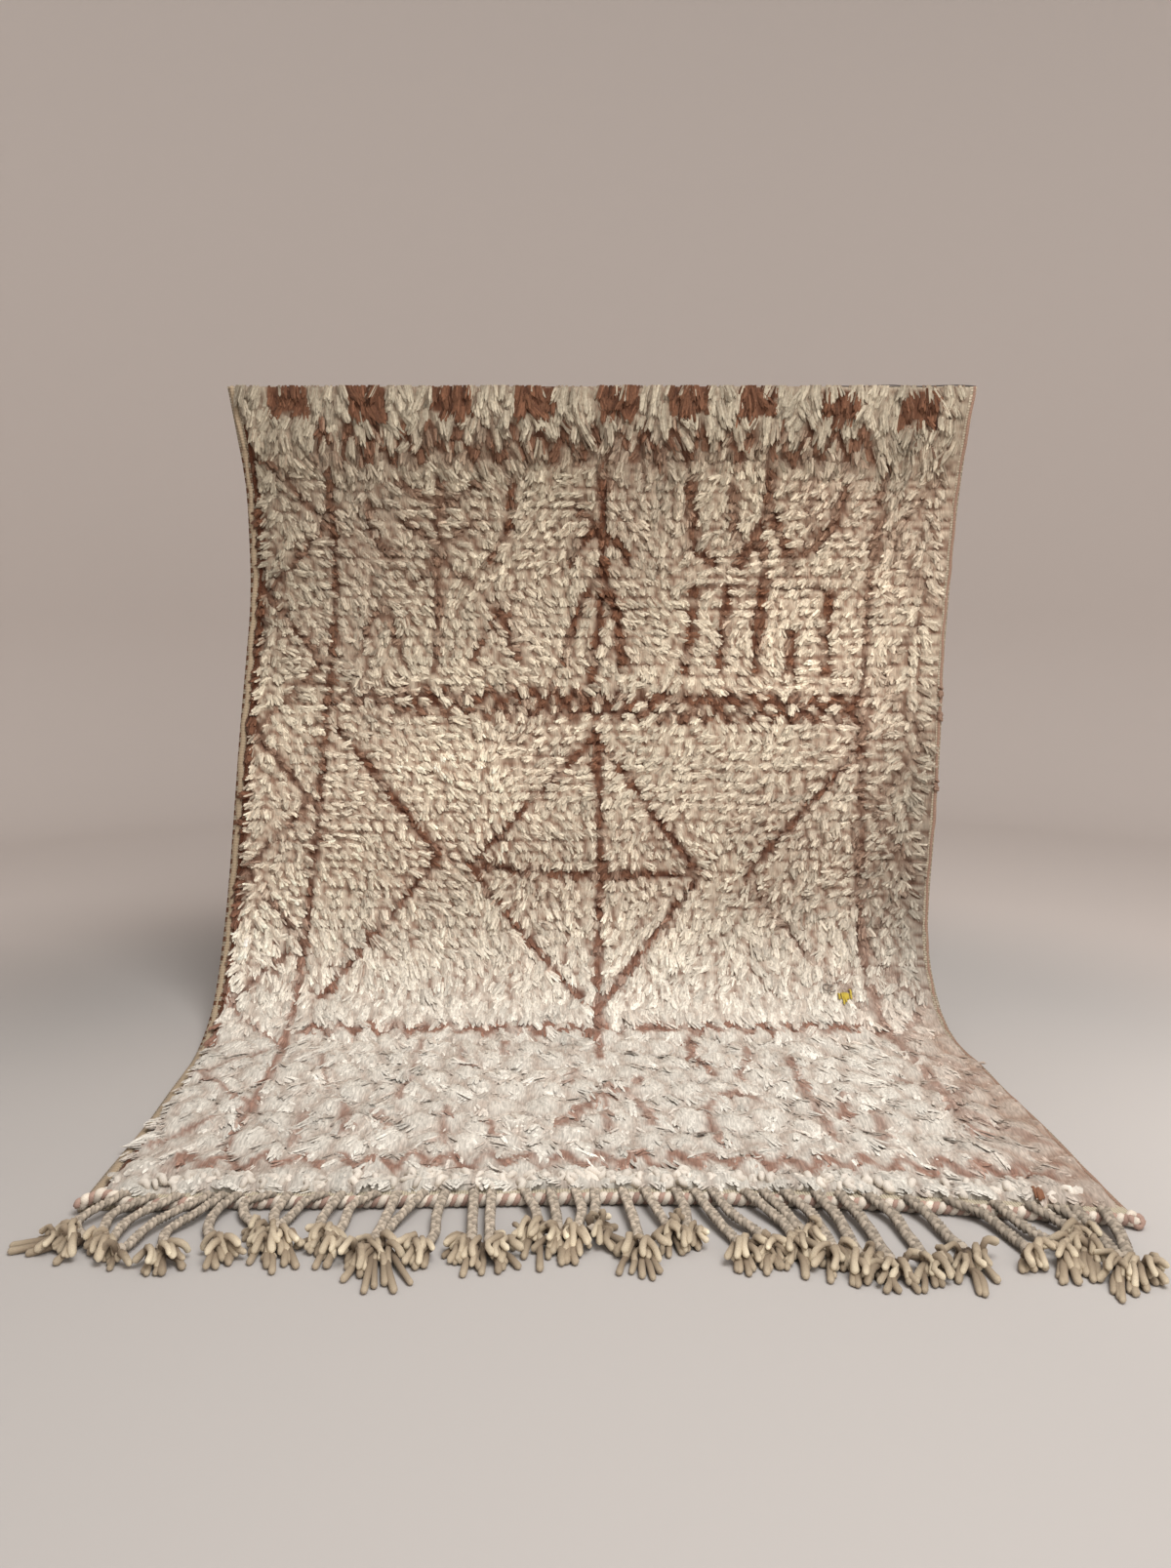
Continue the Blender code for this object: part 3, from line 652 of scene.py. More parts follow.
class Pile:
    """Every strand of the pile. The arrays across, run, zone, fine, lean, length, rise and droop have a row
    for each tuft, and all others a row for each strand."""

    def __init__(self, drape, strokes, clumps, across, run):
        self.random = np.random.default_rng(5)
        self.across, self.run, self.zone = across, run, zone_at(run)
        self.fine = fractal(across, run, 31, 9)
        self.tufts, self.total = len(run), len(run) * STRANDS
        self.lay_tufts()
        self.place_strands(strokes, clumps)
        self.turn_strands()
        self.root_strands(drape)
        self.bend_strands(clumps)
        self.shape_strands()
        self.colour_strands()

    def lay_tufts(self):
        """How the wool of each tuft lies: the way it leans, its length, and the angles of its two halves."""
        across, run, zone, normal = self.across, self.run, self.zone, self.random.normal
        patch = fractal(across, run, 9, 7)
        side = np.tanh(3.0 * (fractal(across, run, 4.5, 3) * 1.5 - across * 0.9))
        rim = np.clip((np.abs(across) - 0.66) / 0.05, 0, 1)
        side = side * (1 - rim) + np.sign(across) * rim
        self.lean = np.radians(zone["lean"] * side + zone["sway"] * patch * 2 + normal(0, 15, self.tufts))
        outward = np.radians(20 * across + np.where(across > 0, 14, -6) * rim)
        self.lean += outward * np.interp(run, [1.3, 1.5], [0, 1])
        self.length = zone["length"] * (1 + 0.24 * patch + 0.22 * self.fine) * normal(1, 0.15, self.tufts)
        self.length *= 1 + 0.25 * (across > 0.70) * (run > 0.10) * (run < HANGS_TO)
        self.length *= 1 - 0.40 * rim * (run > HANGS_TO)
        uneven = np.interp(run, GATHERS, [5, 2])
        self.rise = np.radians(zone["rise"] * (1 + 0.25 * patch) + normal(0, 1, self.tufts) * uneven)
        self.droop = np.radians(zone["droop"] + normal(0, 4, self.tufts))

    def place_strands(self, strokes, clumps):
        """Where each strand stands in its tuft, the lock it falls into, and how brown it is."""
        number = np.tile(np.arange(STRANDS), self.tufts)
        angle = strands(self.random.uniform(0, 2 * np.pi, self.tufts)) + number * GOLDEN_ANGLE
        radius = np.sqrt((number + 0.5) / STRANDS)
        self.u = radius * np.cos(angle) + self.random.normal(0, 0.10, self.total)
        self.v = radius * np.sin(angle) + self.random.normal(0, 0.10, self.total)
        reach = strands(np.interp(self.run, [0.15, 0.25, 1.1, 1.3], [0.0092, 0.0076, 0.0076, 0.0092]))
        self.aside, self.ahead = self.u * TUFT_RADIUS, self.v * reach
        across, run = strands(self.across), strands(self.run)
        self.place_across, self.place_run = across + self.aside, run + self.ahead
        self.lock = clumps.at(self.place_across, self.place_run)
        looked_up = strands(np.where((self.run < 0.075) | (self.run > HANGS_TO), 1.0, 0.55))
        self.brown = rust_at(across + self.aside * looked_up, run + self.ahead * looked_up, strokes)
        self.sunk = self.brown * (self.place_run > HANGS_FROM) * (self.place_run < HANGS_TO)

    def turn_strands(self):
        """The turn of each strand from straight down the rug, its curl and length, and its halves' angles."""
        lock, normal = self.lock, self.random.normal
        loose = np.radians(strands(self.zone["loose"]))
        curl = strands(normal(0, 0.6, self.tufts)) + normal(0, 1, self.total)
        self.curl = curl * np.radians(strands(self.zone["curl"]))
        self.turn = strands(self.lean) + normal(0, 1, self.total) * loose
        self.turn += math.radians(13) * lock.turn * lock.gathered
        self.size = strands(self.length) * normal(1, 0.10, self.total)
        self.first = strands(self.rise) + normal(0, 1, self.total) * loose
        self.second = strands(self.droop) + normal(0, 1, self.total) * loose * 0.6
        self.size *= 1 - 0.22 * self.sunk - 0.22 * self.brown * lock.gathered

    def root_strands(self, drape):
        """The root of each strand on its tuft's cushion, and the ways that its bends are measured from."""
        lock = self.lock
        point, along, facing = drape.at(self.across, self.run)
        self.out, down = strands(facing), strands(along)
        right = np.zeros_like(down)
        right[:, 0] = 1
        self.way = turned(down, right, self.turn)
        self.end_way = turned(down, right, self.turn + self.curl)
        self.spread = scaled(right, self.aside) + scaled(down, self.ahead)
        self.in_lock = scaled(right, lock.offset[:, 0]) + scaled(down, lock.offset[:, 1])
        dome = 1 - 0.38 * (self.u * self.u * 0.6 + self.v * self.v)
        high = CUSHION * (0.86 + 0.25 * strands(self.fine)) * dome - 0.0025
        high += lock_rise(lock) + (0.0022 - 0.0010 * lock.border) * lock.gathered
        self.root = strands(point) + self.spread + scaled(self.out, GROUND / 2 + np.maximum(high, 0.002))
        self.root -= scaled(self.out, 0.003 * self.sunk)
        self.root -= scaled(self.way, self.size * 0.30)

    def bend_strands(self, clumps):
        """The elbow and the tip of each strand, drawn in towards the middle line of its tuft and its lock."""
        beside = np.cross(self.out, self.way)
        self.rise_way = turned(self.way, self.out, self.first)
        self.droop_way = turned(self.end_way, self.out, self.second)
        narrower = 1 - strands(self.zone["tip"])
        gather = scaled(scaled(beside, (self.spread * beside).sum(1)), narrower)
        gather += scaled(scaled(beside, (self.in_lock * beside).sum(1)), 0.50 * self.lock.gathered)
        self.elbow = self.root + scaled(self.rise_way, self.size * 0.50) - gather * 0.25
        self.tip = self.elbow + scaled(self.droop_way, self.size * 0.50) - gather * 0.75
        for joint, reached in [(self.elbow, 0.20), (self.tip, 0.70)]:
            self.follow_locks(clumps, joint, reached)

    def follow_locks(self, clumps, joint, reached):
        """Lifts or sinks the joints of lying strands by as much as the locks under them rise or fall."""
        lying = self.lock.gathered > 0
        turn = self.turn[lying]
        ahead = self.size[lying] * reached
        there = clumps.at(self.place_across[lying] + np.sin(turn) * ahead,
                          self.place_run[lying] + np.cos(turn) * ahead)
        sunk = 0.0010 * (there.border - self.lock.border[lying])
        joint[lying] += scaled(self.out[lying], lock_rise(there) - lock_rise(self.lock)[lying] - sunk)

    def shape_strands(self):
        """Points and normals of the strands: thick where they hang, flat ribbons where they lie."""
        gathered = self.lock.gathered
        uneven = np.clip(self.random.normal(1, 0.13, self.total), 0.65, 1.4)
        thick = STRAND_RADIUS * uneven * (1 - 0.10 * gathered)
        twist = self.random.uniform(-0.5, 0.5, self.total) * (1 - 0.85 * gathered)
        bent = scaled(self.spread, 80 - 48 * gathered) + scaled(self.in_lock, 16 * gathered)
        dome = unit(self.out + bent + self.droop_way * 0.10)
        soft = strands(self.zone["soft"])[:, None]
        wide, tall = 1.2 + 0.2 * gathered, 0.85 - 0.61 * gathered
        lower, upper = self.elbow * 0.75 + self.root * 0.25, self.elbow * 0.30 + self.tip * 0.70
        points, normals = np.empty((2, self.total, 7, 3))
        for start, centre, ahead, width in [(0, lower, self.rise_way, 1.0), (3, upper, self.droop_way, 0.95)]:
            flank = unit(np.cross(ahead, self.out))
            crown = np.cross(flank, ahead)
            for corner in range(3):
                spin = twist + math.radians(90 + 120 * corner)
                arm = scaled(flank, np.cos(spin) * wide) + scaled(crown, np.sin(spin) * tall)
                points[:, start + corner] = centre + scaled(arm, thick * width)
                normals[:, start + corner] = unit(unit(arm) * (1 - soft) + dome * soft)
        points[:, 6] = self.tip
        normals[:, 6] = unit(unit(self.droop_way) * (1 - soft) * 0.6 + dome * (soft + 0.25))
        points[:, 0:3] += ((self.root - self.elbow) * 0.45)[:, None]
        points[..., 2] = np.clip(points[..., 2], FLOOR + 0.0012, 0.0002)
        self.points, self.normals = points, normals

    def light(self):
        """Painted light for each strand: shade painted towards its tuft's rim, in creases and at its lock's
        border.
        """
        lock, run = self.lock, self.run
        rim = np.clip((np.hypot(self.u * 0.9, self.v * 1.1) - 0.40) / 0.60, 0, 1)
        creased = 0.55 + 0.45 * fractal(self.across, run, 6.5, 44)
        creased = creased + np.interp(run, [0.88, 0.94, 1.04, 1.1], [0, 0.2, 0.2, 0])
        creased = strands(np.clip(creased, 0.30, 0.85) * np.interp(run, [1.08, 1.2], [1, 0.55]))
        light = 1 - rim * (creased * (1 - lock.gathered) + 0.10 * lock.gathered)
        light *= 1 - 0.20 * lock.gathered * lock.border**1.5
        return np.clip(light, 0.2, 1)

    def colour_strands(self):
        """Colours of the strands' points, with painted shade at the root and painted light at the tip."""
        across, run, lock, normal = self.across, self.run, self.lock, self.random.normal
        value = 1 + 0.07 * strands(normal(0, 1, self.tufts)) + normal(0, 0.04, self.total)
        value += strands(0.14 * fractal(across, run, 3.1, 21) + 0.16 * fractal(across, run, 12, 22))
        value += 0.05 * lock.tone * lock.gathered
        value *= strands(self.zone["bright"] * edge_shade(across, run))
        value *= np.exp(self.brown * normal(0, 0.35, self.total))
        # Pinker with dust in patches, and with painted shade towards the borders of the locks on the floor
        dust_and_shade = strands(dusty_at(across, run)) + 0.45 * lock.gathered * lock.border**2
        body = wool_colours(self.brown, strands(self.zone["white"]), dust_and_shade, value)
        light = self.light()
        self.colours = np.empty_like(self.points)
        # Painted shade: the root ring darker than the middle ring, and the tip painted lighter
        self.colours[:, 0:3] = shaded(body, light * (0.74 + 0.12 * lock.gathered))[:, None]
        self.colours[:, 3:6] = shaded(body, light)[:, None]
        self.colours[:, 6] = shaded(body, np.minimum(light * 1.12, 1))

    def pieces(self, material):
        """A few joined pieces, from the top end down."""
        made = []
        order = np.argsort(strands(self.run), kind="stable")
        for index, chosen in enumerate(np.array_split(order, PILE_PIECES), 1):
            points, colours, normals = (values[chosen].reshape(-1, 3)
                                        for values in (self.points, self.colours, self.normals))
            faces = (np.arange(len(chosen)) * 7)[:, None, None] + STRAND_FACES
            made.append(make_piece(f"pile_{index}", points, faces.reshape(-1, 3), np.clip(colours, 0, 1),
                                   material, normals))
        return made


def cushion_depth(across, run, tufts_across, tufts_run):
    """How far places are out of the creases between the tufts, from 0 to 1."""
    stretch = 1.35
    tree = search_tree(tufts_across, tufts_run * stretch)
    near = np.array([[hit[2] for hit in tree.find_n((a, r * stretch, 0), 2)] for a, r in zip(across, run)])
    crown = np.clip((near[:, 1] - near[:, 0]) / 0.012, 0, 1)
    crown = crown * (2 - crown)
    flatter = np.interp(run, [0, 0.15, 0.22, 1.15, 1.35, 2.07], [0.45, 0.45, 1, 1, 0.5, 0.4])
    return 1 - (1 - crown) * flatter


def build_base(drape, strokes, clumps, tufts_across, tufts_run, material):
    """The dense body of the pile: a cushion for each tuft, with a crease round it."""
    end = drape.length - PLAIN_END
    rows = np.concatenate([[0.0005], np.linspace(0.004, end - 0.004, BASE_ROWS), [end]])
    across, run = grid(np.linspace(BASE_LEFT, BASE_RIGHT, BASE_COLUMNS), rows)
    depth = cushion_depth(across, run, tufts_across, tufts_run)
    lock = clumps.at(across, run)
    brown = rust_at(across, run, strokes)
    bulge = CUSHION * (0.80 + 0.25 * fractal(across, run, 31, 9)) * (0.35 + 0.65 * depth)
    bulge -= 0.004 * brown * (run > HANGS_FROM) * (run < HANGS_TO)
    bulge = np.maximum(bulge + lock_rise(lock) + 0.0006 * lock.gathered, 0.001)
    rim = (across < BASE_LEFT + 0.001) | (across > BASE_RIGHT - 0.001) | (run < 0.002) | (run > end - 0.002)
    bulge[rim] = -0.001
    points = drape.raised(across, run, GROUND / 2 + bulge)
    zone = zone_at(run)
    # Pinker with dust in patches, and with painted shade towards the borders of the locks on the floor
    dust_and_shade = dusty_at(across, run) + 0.55 * lock.gathered * lock.border**2
    body = wool_colours(brown, zone["white"], dust_and_shade, zone["bright"] * edge_shade(across, run))
    # Painted shade: the body darker in the creases between tufts and at the borders of the locks
    crest = np.clip(depth * 1.5 - 0.7, 0, 1)
    light = 0.20 - 0.10 * lock.gathered + (0.50 - 0.35 * lock.gathered) * crest
    light += 0.62 * lock.gathered * (1 - 0.3 * lock.border**2)
    faces = grid_faces(BASE_COLUMNS, len(rows))
    return make_piece("pile_base", points, faces, np.clip(shaded(body, light), 0, 1), material)


# ---------------------------------------------------------------- ground, cords and fringe

def build_ground(drape, strokes, material):
    """The foundation: a closed sheet, coarse under the pile and fine at the back, where its knots show."""
    layers = []
    for columns, rows, level in [(FRONT_COLUMNS, FRONT_ROWS, 1), (BACK_COLUMNS, BACK_ROWS, -1)]:
        across, run = grid(np.linspace(-HALF_WIDTH, HALF_WIDTH, columns), np.linspace(0, drape.length, rows))
        point, _, facing = drape.at(across, run)
        points = point + facing * level * GROUND / 2
        keep_above(points, FLOOR + 0.0004)
        layers.append((points, across, run))
    points, across, run = (np.concatenate(parts) for parts in zip(*layers))
    colours = mix(GROUND_CREAM, GROUND_RUST, rust_at(across, run, strokes))
    ground = make_piece("ground", points, ground_faces(), colours, material)
    corners = np.empty(len(ground.data.loops), dtype=np.int32)
    ground.data.loops.foreach_get("vertex_index", corners)
    flat = np.stack([across, run], -1)[corners].astype(np.float32)
    ground.data.uv_layers.new(name="cloth").data.foreach_set("uv", flat.ravel())
    return ground


def ground_faces():
    """Triangles over the foundation's front and back, and round its rim."""
    total = FRONT_COLUMNS * FRONT_ROWS
    near = grid_rim(FRONT_COLUMNS, FRONT_ROWS)
    far = grid_rim(BACK_COLUMNS, BACK_ROWS, total)
    faces = [grid_faces(FRONT_COLUMNS, FRONT_ROWS), grid_faces(BACK_COLUMNS, BACK_ROWS, total)[:, ::-1]]
    following = np.roll(near, -1)
    fine = [np.roll(far, -step)[::BACK_SPLIT] for step in range(BACK_SPLIT + 1)]
    middle = BACK_SPLIT // 2
    for step in range(BACK_SPLIT):
        faces.append(np.stack([near if step < middle else following, fine[step + 1], fine[step]], 1))
    faces.append(np.stack([near, following, fine[middle]], 1))
    return np.concatenate(faces)


class Bundle:
    """Round yarns gathered into one mesh."""

    def __init__(self):
        self.points = []
        self.faces = []
        self.colours = []
        self.total = 0

    def tube(self, path, wide, tall, colour, sides=6, up=(0, 0, 1)):
        """One closed tube along a path, with its half widths and heights by ring."""
        path = np.asarray(path, float)
        rings = len(path)
        ahead, side, crown = axes_along(path, up)
        spin = 2 * np.pi * np.arange(sides) / sides
        wide = np.broadcast_to(wide, rings)[:, None, None]
        tall = np.broadcast_to(tall, rings)[:, None, None]
        skin = path[:, None] + side[:, None] * np.cos(spin)[None, :, None] * wide
        skin = skin + crown[:, None] * np.sin(spin)[None, :, None] * tall
        first, last = ahead[0] * tall[0, 0, 0] * 0.5, ahead[-1] * tall[-1, 0, 0] * 0.5
        points = np.vstack([skin.reshape(-1, 3), path[0] - first, path[-1] + last])
        colour = np.broadcast_to(colour, (rings, 3))
        self.points.append(points)
        self.faces.append(self.tube_faces(rings, sides) + self.total)
        self.colours.append(np.vstack([np.repeat(colour, sides, axis=0), colour[:1], colour[-1:]]))
        self.total += len(points)

    @staticmethod
    def tube_faces(rings, sides):
        """Triangles round the rings of a tube, and from its last two points to its ends."""
        index = np.arange(rings * sides).reshape(rings, sides)
        after = np.roll(index, -1, axis=1)
        a, b, c, d = index[:-1], after[:-1], after[1:], index[1:]
        faces = [np.stack([a, b, c], -1).reshape(-1, 3), np.stack([a, c, d], -1).reshape(-1, 3)]
        faces.append(np.stack([after[0], index[0], np.full(sides, rings * sides)], -1))
        faces.append(np.stack([index[-1], after[-1], np.full(sides, rings * sides + 1)], -1))
        return np.concatenate(faces)

    def piece(self, name, material):
        return make_piece(name, np.vstack(self.points), np.vstack(self.faces),
                          np.clip(np.vstack(self.colours), 0, 1), material)


def resample(path, step):
    """Evenly spaced points along a path."""
    path = np.asarray(path, float)
    run = np.concatenate([[0], np.cumsum(np.linalg.norm(np.diff(path, axis=0), axis=1))])
    places = np.linspace(0, run[-1], max(3, int(round(run[-1] / step)) + 1))
    return np.stack([np.interp(places, run, column) for column in path.T], -1)


def build_selvedges(drape, material):
    """Finely ribbed cords down both sides of the cloth."""
    bundle = Bundle()
    pitch = 0.006
    for middle, half, thick, tint, start in [
        (-0.7290, 0.0068, 0.0055, RUST_ROOT, 0.075),
        (-0.7415, 0.0086, 0.0050, TAN, 0.0),
        (0.7458, 0.0046, 0.0046, PINK_BROWN, 0.0),
    ]:
        run = np.arange(start, drape.length - 0.004, pitch / 3)
        wander = middle + 0.0012 * np.sin(run * 23) + 0.0008 * np.sin(run * 71)
        rib = 0.80 + 0.20 * np.abs(np.sin(np.pi * run / pitch + 0.4))
        # Painted shade: each cord darker in the grooves between its ribs
        shade = np.array(tint) * (0.80 + 0.45 * (rib - 0.80) / 0.20)[:, None]
        rib = rib * np.clip(0.15 + run / 0.12, 0, 1) if start else rib
        path = drape.raised(wander, run, 0.0012)
        keep_above(path, FLOOR + thick * 0.92)
        bundle.tube(path, half * rib, thick * rib, shade, 5, up=(0, -0.25, 1))
    return bundle.piece("selvedges", material)


def edge_line(x):
    """The middle line of the twined edge, with its left end curled up."""
    curl = np.exp(-((x + 0.722) / 0.030) ** 2)
    return np.stack([x, front_end(x) - EDGE_AHEAD + 0.012 * curl, FLOOR + EDGE_HEIGHT + 0.014 * curl], -1)


def build_edge(material):
    """The two-colour twined cord across the front end."""
    bundle = Bundle()
    path = resample(edge_line(np.linspace(EDGE_LEFT, EDGE_RIGHT, 400)), EDGE_PITCH / 12)
    run = np.linspace(0, 1, len(path)) * (len(path) - 1) * EDGE_PITCH / 12
    _, side, crown = axes_along(path)
    sway = 0.5 * np.sin(run * 17) + 0.4 * np.sin(run * 41)
    for phase, tint, thicker in [(0, EDGE_WHITE, 0.0003), (math.pi, EDGE_BROWN, -0.0007)]:
        angle = -2 * np.pi * run / EDGE_PITCH + phase + sway
        helix = scaled(side, EDGE_HELIX * np.cos(angle)) + scaled(crown, EDGE_HELIX * np.sin(angle))
        swell = (EDGE_YARN + thicker) * (1 + 0.07 * np.sin(run * 29 + phase))
        swell *= 1 + 0.14 * np.sin(angle)
        # Painted light: each yarn lighter where it twines over the top of the cord and darker below, with
        # uneven streaks
        shade = 0.82 + 0.22 * np.sin(angle) + 0.10 * np.sin(run * 53 + phase * 2) + 0.08 * np.sin(run * 131)
        bundle.tube(path + helix, swell, swell, np.array(tint) * shade[:, None], 8)
    for lift, turn, tint in [(0.0, 0.0, EDGE_BROWN), (0.004, 1.3, EDGE_WHITE), (0.001, 2.6, EDGE_BROWN)]:
        knob = [(KNOB_X + KNOB_RADIUS * math.cos(a + turn), KNOB_Y + KNOB_RADIUS * math.sin(a + turn) * 0.8,
                 FLOOR + 0.0095 + lift + 0.005 * math.sin(2 * a)) for a in np.linspace(0, 3.4, 10)]
        bundle.tube(knob, 0.0052, 0.0050, tint, 8)
    return bundle.piece("twined_edge", material)


def plait(bundle, path, tint, start, size):
    """Three yarns plaited along a path; size is how thick the braid is beside a common one."""
    path = resample(path, BRAID_STEP * size)
    run = start + np.arange(len(path)) * BRAID_STEP
    _, side, crown = axes_along(path)
    # Painted light: the three yarns at three levels of light, each lighter where it crosses over the braid's
    # top
    for yarn, light in enumerate((1.12, 0.92, 0.68)):
        angle = 2 * np.pi * (run / BRAID_PITCH + yarn / 3)
        centre = path + scaled(side, size * BRAID_SWAY * np.sin(angle))
        centre += scaled(crown, size * BRAID_LIFT * np.sin(2 * angle))
        shade = np.array(tint) * (0.70 + 0.40 * np.sin(2 * angle) + 0.06 * np.sin(run * 190 + yarn))[:, None]
        bundle.tube(centre, size * BRAID_YARN * 1.12, size * BRAID_YARN, shade * light, 6)


def tassel(bundle, knot, ahead, reach, tint, generator):
    """Thick felted yarn ends: some fan out over the floor, the rest are heaped on them as stubs."""
    side = np.array([-ahead[1], ahead[0]])
    side *= np.sign(side @ (reach[-1] - reach[0])) or 1
    for number in range(ENDS):
        share = (number + 0.5) / ENDS
        place = share * (len(reach) - 1)
        low = min(int(place), len(reach) - 2)
        away = reach[low] + (reach[low + 1] - reach[low]) * (place - low) - knot[:2]
        away = away * generator.uniform(0.80, 1.06) + generator.normal(0, 0.0045, 2)
        heap = HEAPS[number * 2 % 3]
        start = knot[:2] + side * (share - 0.5) * 0.014
        path = yarn_path(start, away, side, heap, generator)
        yarn_end(bundle, *path, number, heap, tint, generator)


def yarn_path(start, away, side, heap, generator):
    """The way of one yarn end through its heap, and how thick it is."""
    far = np.linalg.norm(away)
    turn = generator.normal(0, heap.turn)
    way = np.array([[math.cos(turn), -math.sin(turn)], [math.sin(turn), math.cos(turn)]]) @ away / far
    start = start + away * heap.begin * generator.uniform(0.7, 1.3)
    goal = start + way * min(far * heap.span, heap.longest) * generator.uniform(0.85, 1.15)
    thick = YARN_END * generator.uniform(0.88, 1.14)
    rest = FLOOR + thick + heap.end * generator.uniform(0.3, 1.3)
    crest = FLOOR + thick + heap.crest * generator.uniform(0.80, 1.15)
    bow = side * generator.normal(0, 0.0045)
    corners = [
        (*start, FLOOR + heap.root),
        (*(start * 0.68 + goal * 0.32 + bow), crest),
        (*(start * 0.32 + goal * 0.68 - bow * 0.4), crest * 0.6 + rest * 0.4),
        (*goal, rest),
    ]
    return resample(smooth_curve(corners, 5), 0.0065), thick


def yarn_end(bundle, path, thick, number, heap, tint, generator):
    """A yarn with a swelling body and a round tip, from its dark root to its lit end."""
    tip = unit(path[-1] - path[-2])
    path = np.vstack([path, path[-1] + tip * thick * 0.50, path[-1] + tip * thick * 0.85])
    rings = len(path)
    swell = thick * (1 + 0.10 * np.sin(np.linspace(0, 7, rings) + number * 1.7))
    swell *= np.linspace(0.84, 1.12, rings)
    swell[-2:] *= (0.82, 0.45)
    keep_above(path, FLOOR + swell)
    light = heap.dark + (heap.lit - heap.dark) * np.linspace(0, 1, rings)**1.45
    light = light * generator.normal(1, 0.10)
    bundle.tube(path, swell, swell, tint * light[:, None] ** np.array(TASSEL_TURN), 6)


def braid_curve(path):
    """The middle line of a braid: out of the twined edge, over it and down to its knot on the floor."""
    start = edge_line(path[0, :1])[0]
    way = path[1] - start[:2]
    way = way / np.linalg.norm(way)
    knot = np.array([*path[-1], FLOOR + KNOT_HEIGHT])
    points = [
        (start[0] - way[0] * 0.003, start[1] + 0.0085, start[2] + 0.0035),
        (start[0], start[1] + 0.001, start[2] + 0.0125),
        (*(start[:2] + way * 0.012), start[2] + 0.0105),
        *((*place, FLOOR + BRAID_HEIGHT + 0.006 * (number == 0)) for number, place in enumerate(path[1:-1])),
        knot,
    ]
    curve = smooth_curve(points, 8)
    keep_above(curve, FLOOR + BRAID_LOWEST)
    return curve, knot


def build_fringe(material):
    """The plaited braids with their knots and tassels."""
    generator = np.random.default_rng(23)
    braids = Bundle()
    tassels = Bundle()
    for path, reach in BRAIDS:
        path, reach = np.array(path) / 1000, np.array(reach) / 1000
        curve, knot = braid_curve(path)
        tint = np.array(BRAID_GREY) * generator.normal(1, 0.05)
        size = np.interp(path[0, 0], [0.05, 0.30], [1.08, 1.28])
        light = np.interp(path[0, 0], [0.05, 0.40], [1.04, 0.84])
        plait(braids, curve, tint * light, generator.uniform(0, 0.02), size)
        ahead = unit(curve[-1] - curve[-4])
        collar = knot - ahead * 0.003
        braids.tube([collar + ahead * step for step in (-0.005, -0.002, 0.002, 0.006)],
                    [0.0070, 0.0088, 0.0086, 0.0060], [0.0058, 0.0078, 0.0076, 0.0052], tint * 1.04, 10)
        tint = np.array(TASSEL) * generator.normal(1, 0.05)
        tassel(tassels, knot + ahead * 0.003, ahead, reach, tint, generator)
    return braids.piece("braids", material), tassels.piece("tassels", material)


def build_curls(drape, material):
    """Thick curly locks along the front row, with round ends."""
    generator = np.random.default_rng(41)
    bundle = Bundle()
    end = drape.length - PLAIN_END
    for number in range(CURLS):
        across = CURLS_LEFT + CURLS_WIDTH * (number + generator.uniform(0, 1)) / CURLS
        run = end - generator.uniform(0.004, 0.034)
        point, along, facing = drape.at(across, run)
        turn = generator.normal(0.2, 0.6)
        way = along * math.cos(turn) + np.array((1.0, 0, 0)) * math.sin(turn)
        length = generator.uniform(0.010, 0.021)
        high = generator.uniform(0.009, 0.019)
        thick = generator.uniform(0.0042, 0.0072)
        side = np.cross(facing, way) * generator.normal(0, 0.006)
        path = [
            point - way * length * 0.5 + facing * high * 0.6,
            point + facing * (high + 0.003) + side,
            point + way * length * 0.3 + facing * high + side * 1.4,
            point + way * length * 0.45 + facing * high * 0.6,
        ]
        path = resample(smooth_curve(path, 4), 0.006)
        keep_above(path, FLOOR + GROUND + thick * 0.7)
        swell = thick * np.linspace(1.0, 0.9, len(path))
        swell[[0, -1]] *= 0.66
        tint = np.array(CURL) * generator.normal(1, 0.08)
        bundle.tube(path, swell, swell, tint * np.linspace(0.93, 1.02, len(path))[:, None], 8, up=facing)
    point, along, facing = drape.at(DARK_CURLS, end - 0.012)
    for _ in range(12):
        shift = np.array((generator.normal(0, 0.005), generator.normal(0, 0.003), 0))
        path = [point + shift + facing * 0.010 - along * 0.008, point + shift + facing * 0.020,
                point + shift + facing * 0.014 + along * 0.012]
        bundle.tube(smooth_curve(path, 3), 0.0028, 0.0028, RUST, 6, up=facing)
    return bundle.piece("front_curls", material)


def build_plain_strip(drape, material):
    """The plain weave between the pile and the twined edge, with its warp ribs."""
    ribs = 370
    half = 0.748
    start = drape.length - PLAIN_END
    columns = np.linspace(-half, half, ribs * 4 + 1)
    rows = np.array([start - 0.006, start + 0.004, drape.length - 0.008, drape.length - 0.0005])
    across, run = grid(columns, rows)
    rib = np.abs(np.sin(np.pi * ribs * (across + half) / (2 * half)))
    level = np.repeat([0.0, 0.0012, 0.0022, 0.0], len(columns))
    points = drape.raised(across, run, GROUND / 2 + level + 0.0011 * rib)
    # Painted shade: the strip darker in the grooves between its ribs
    shade = np.array(STRIP_CREAM) * (0.62 + 0.45 * rib)[:, None]
    return make_piece("plain_strip", points, grid_faces(len(columns), len(rows)), shade, material)


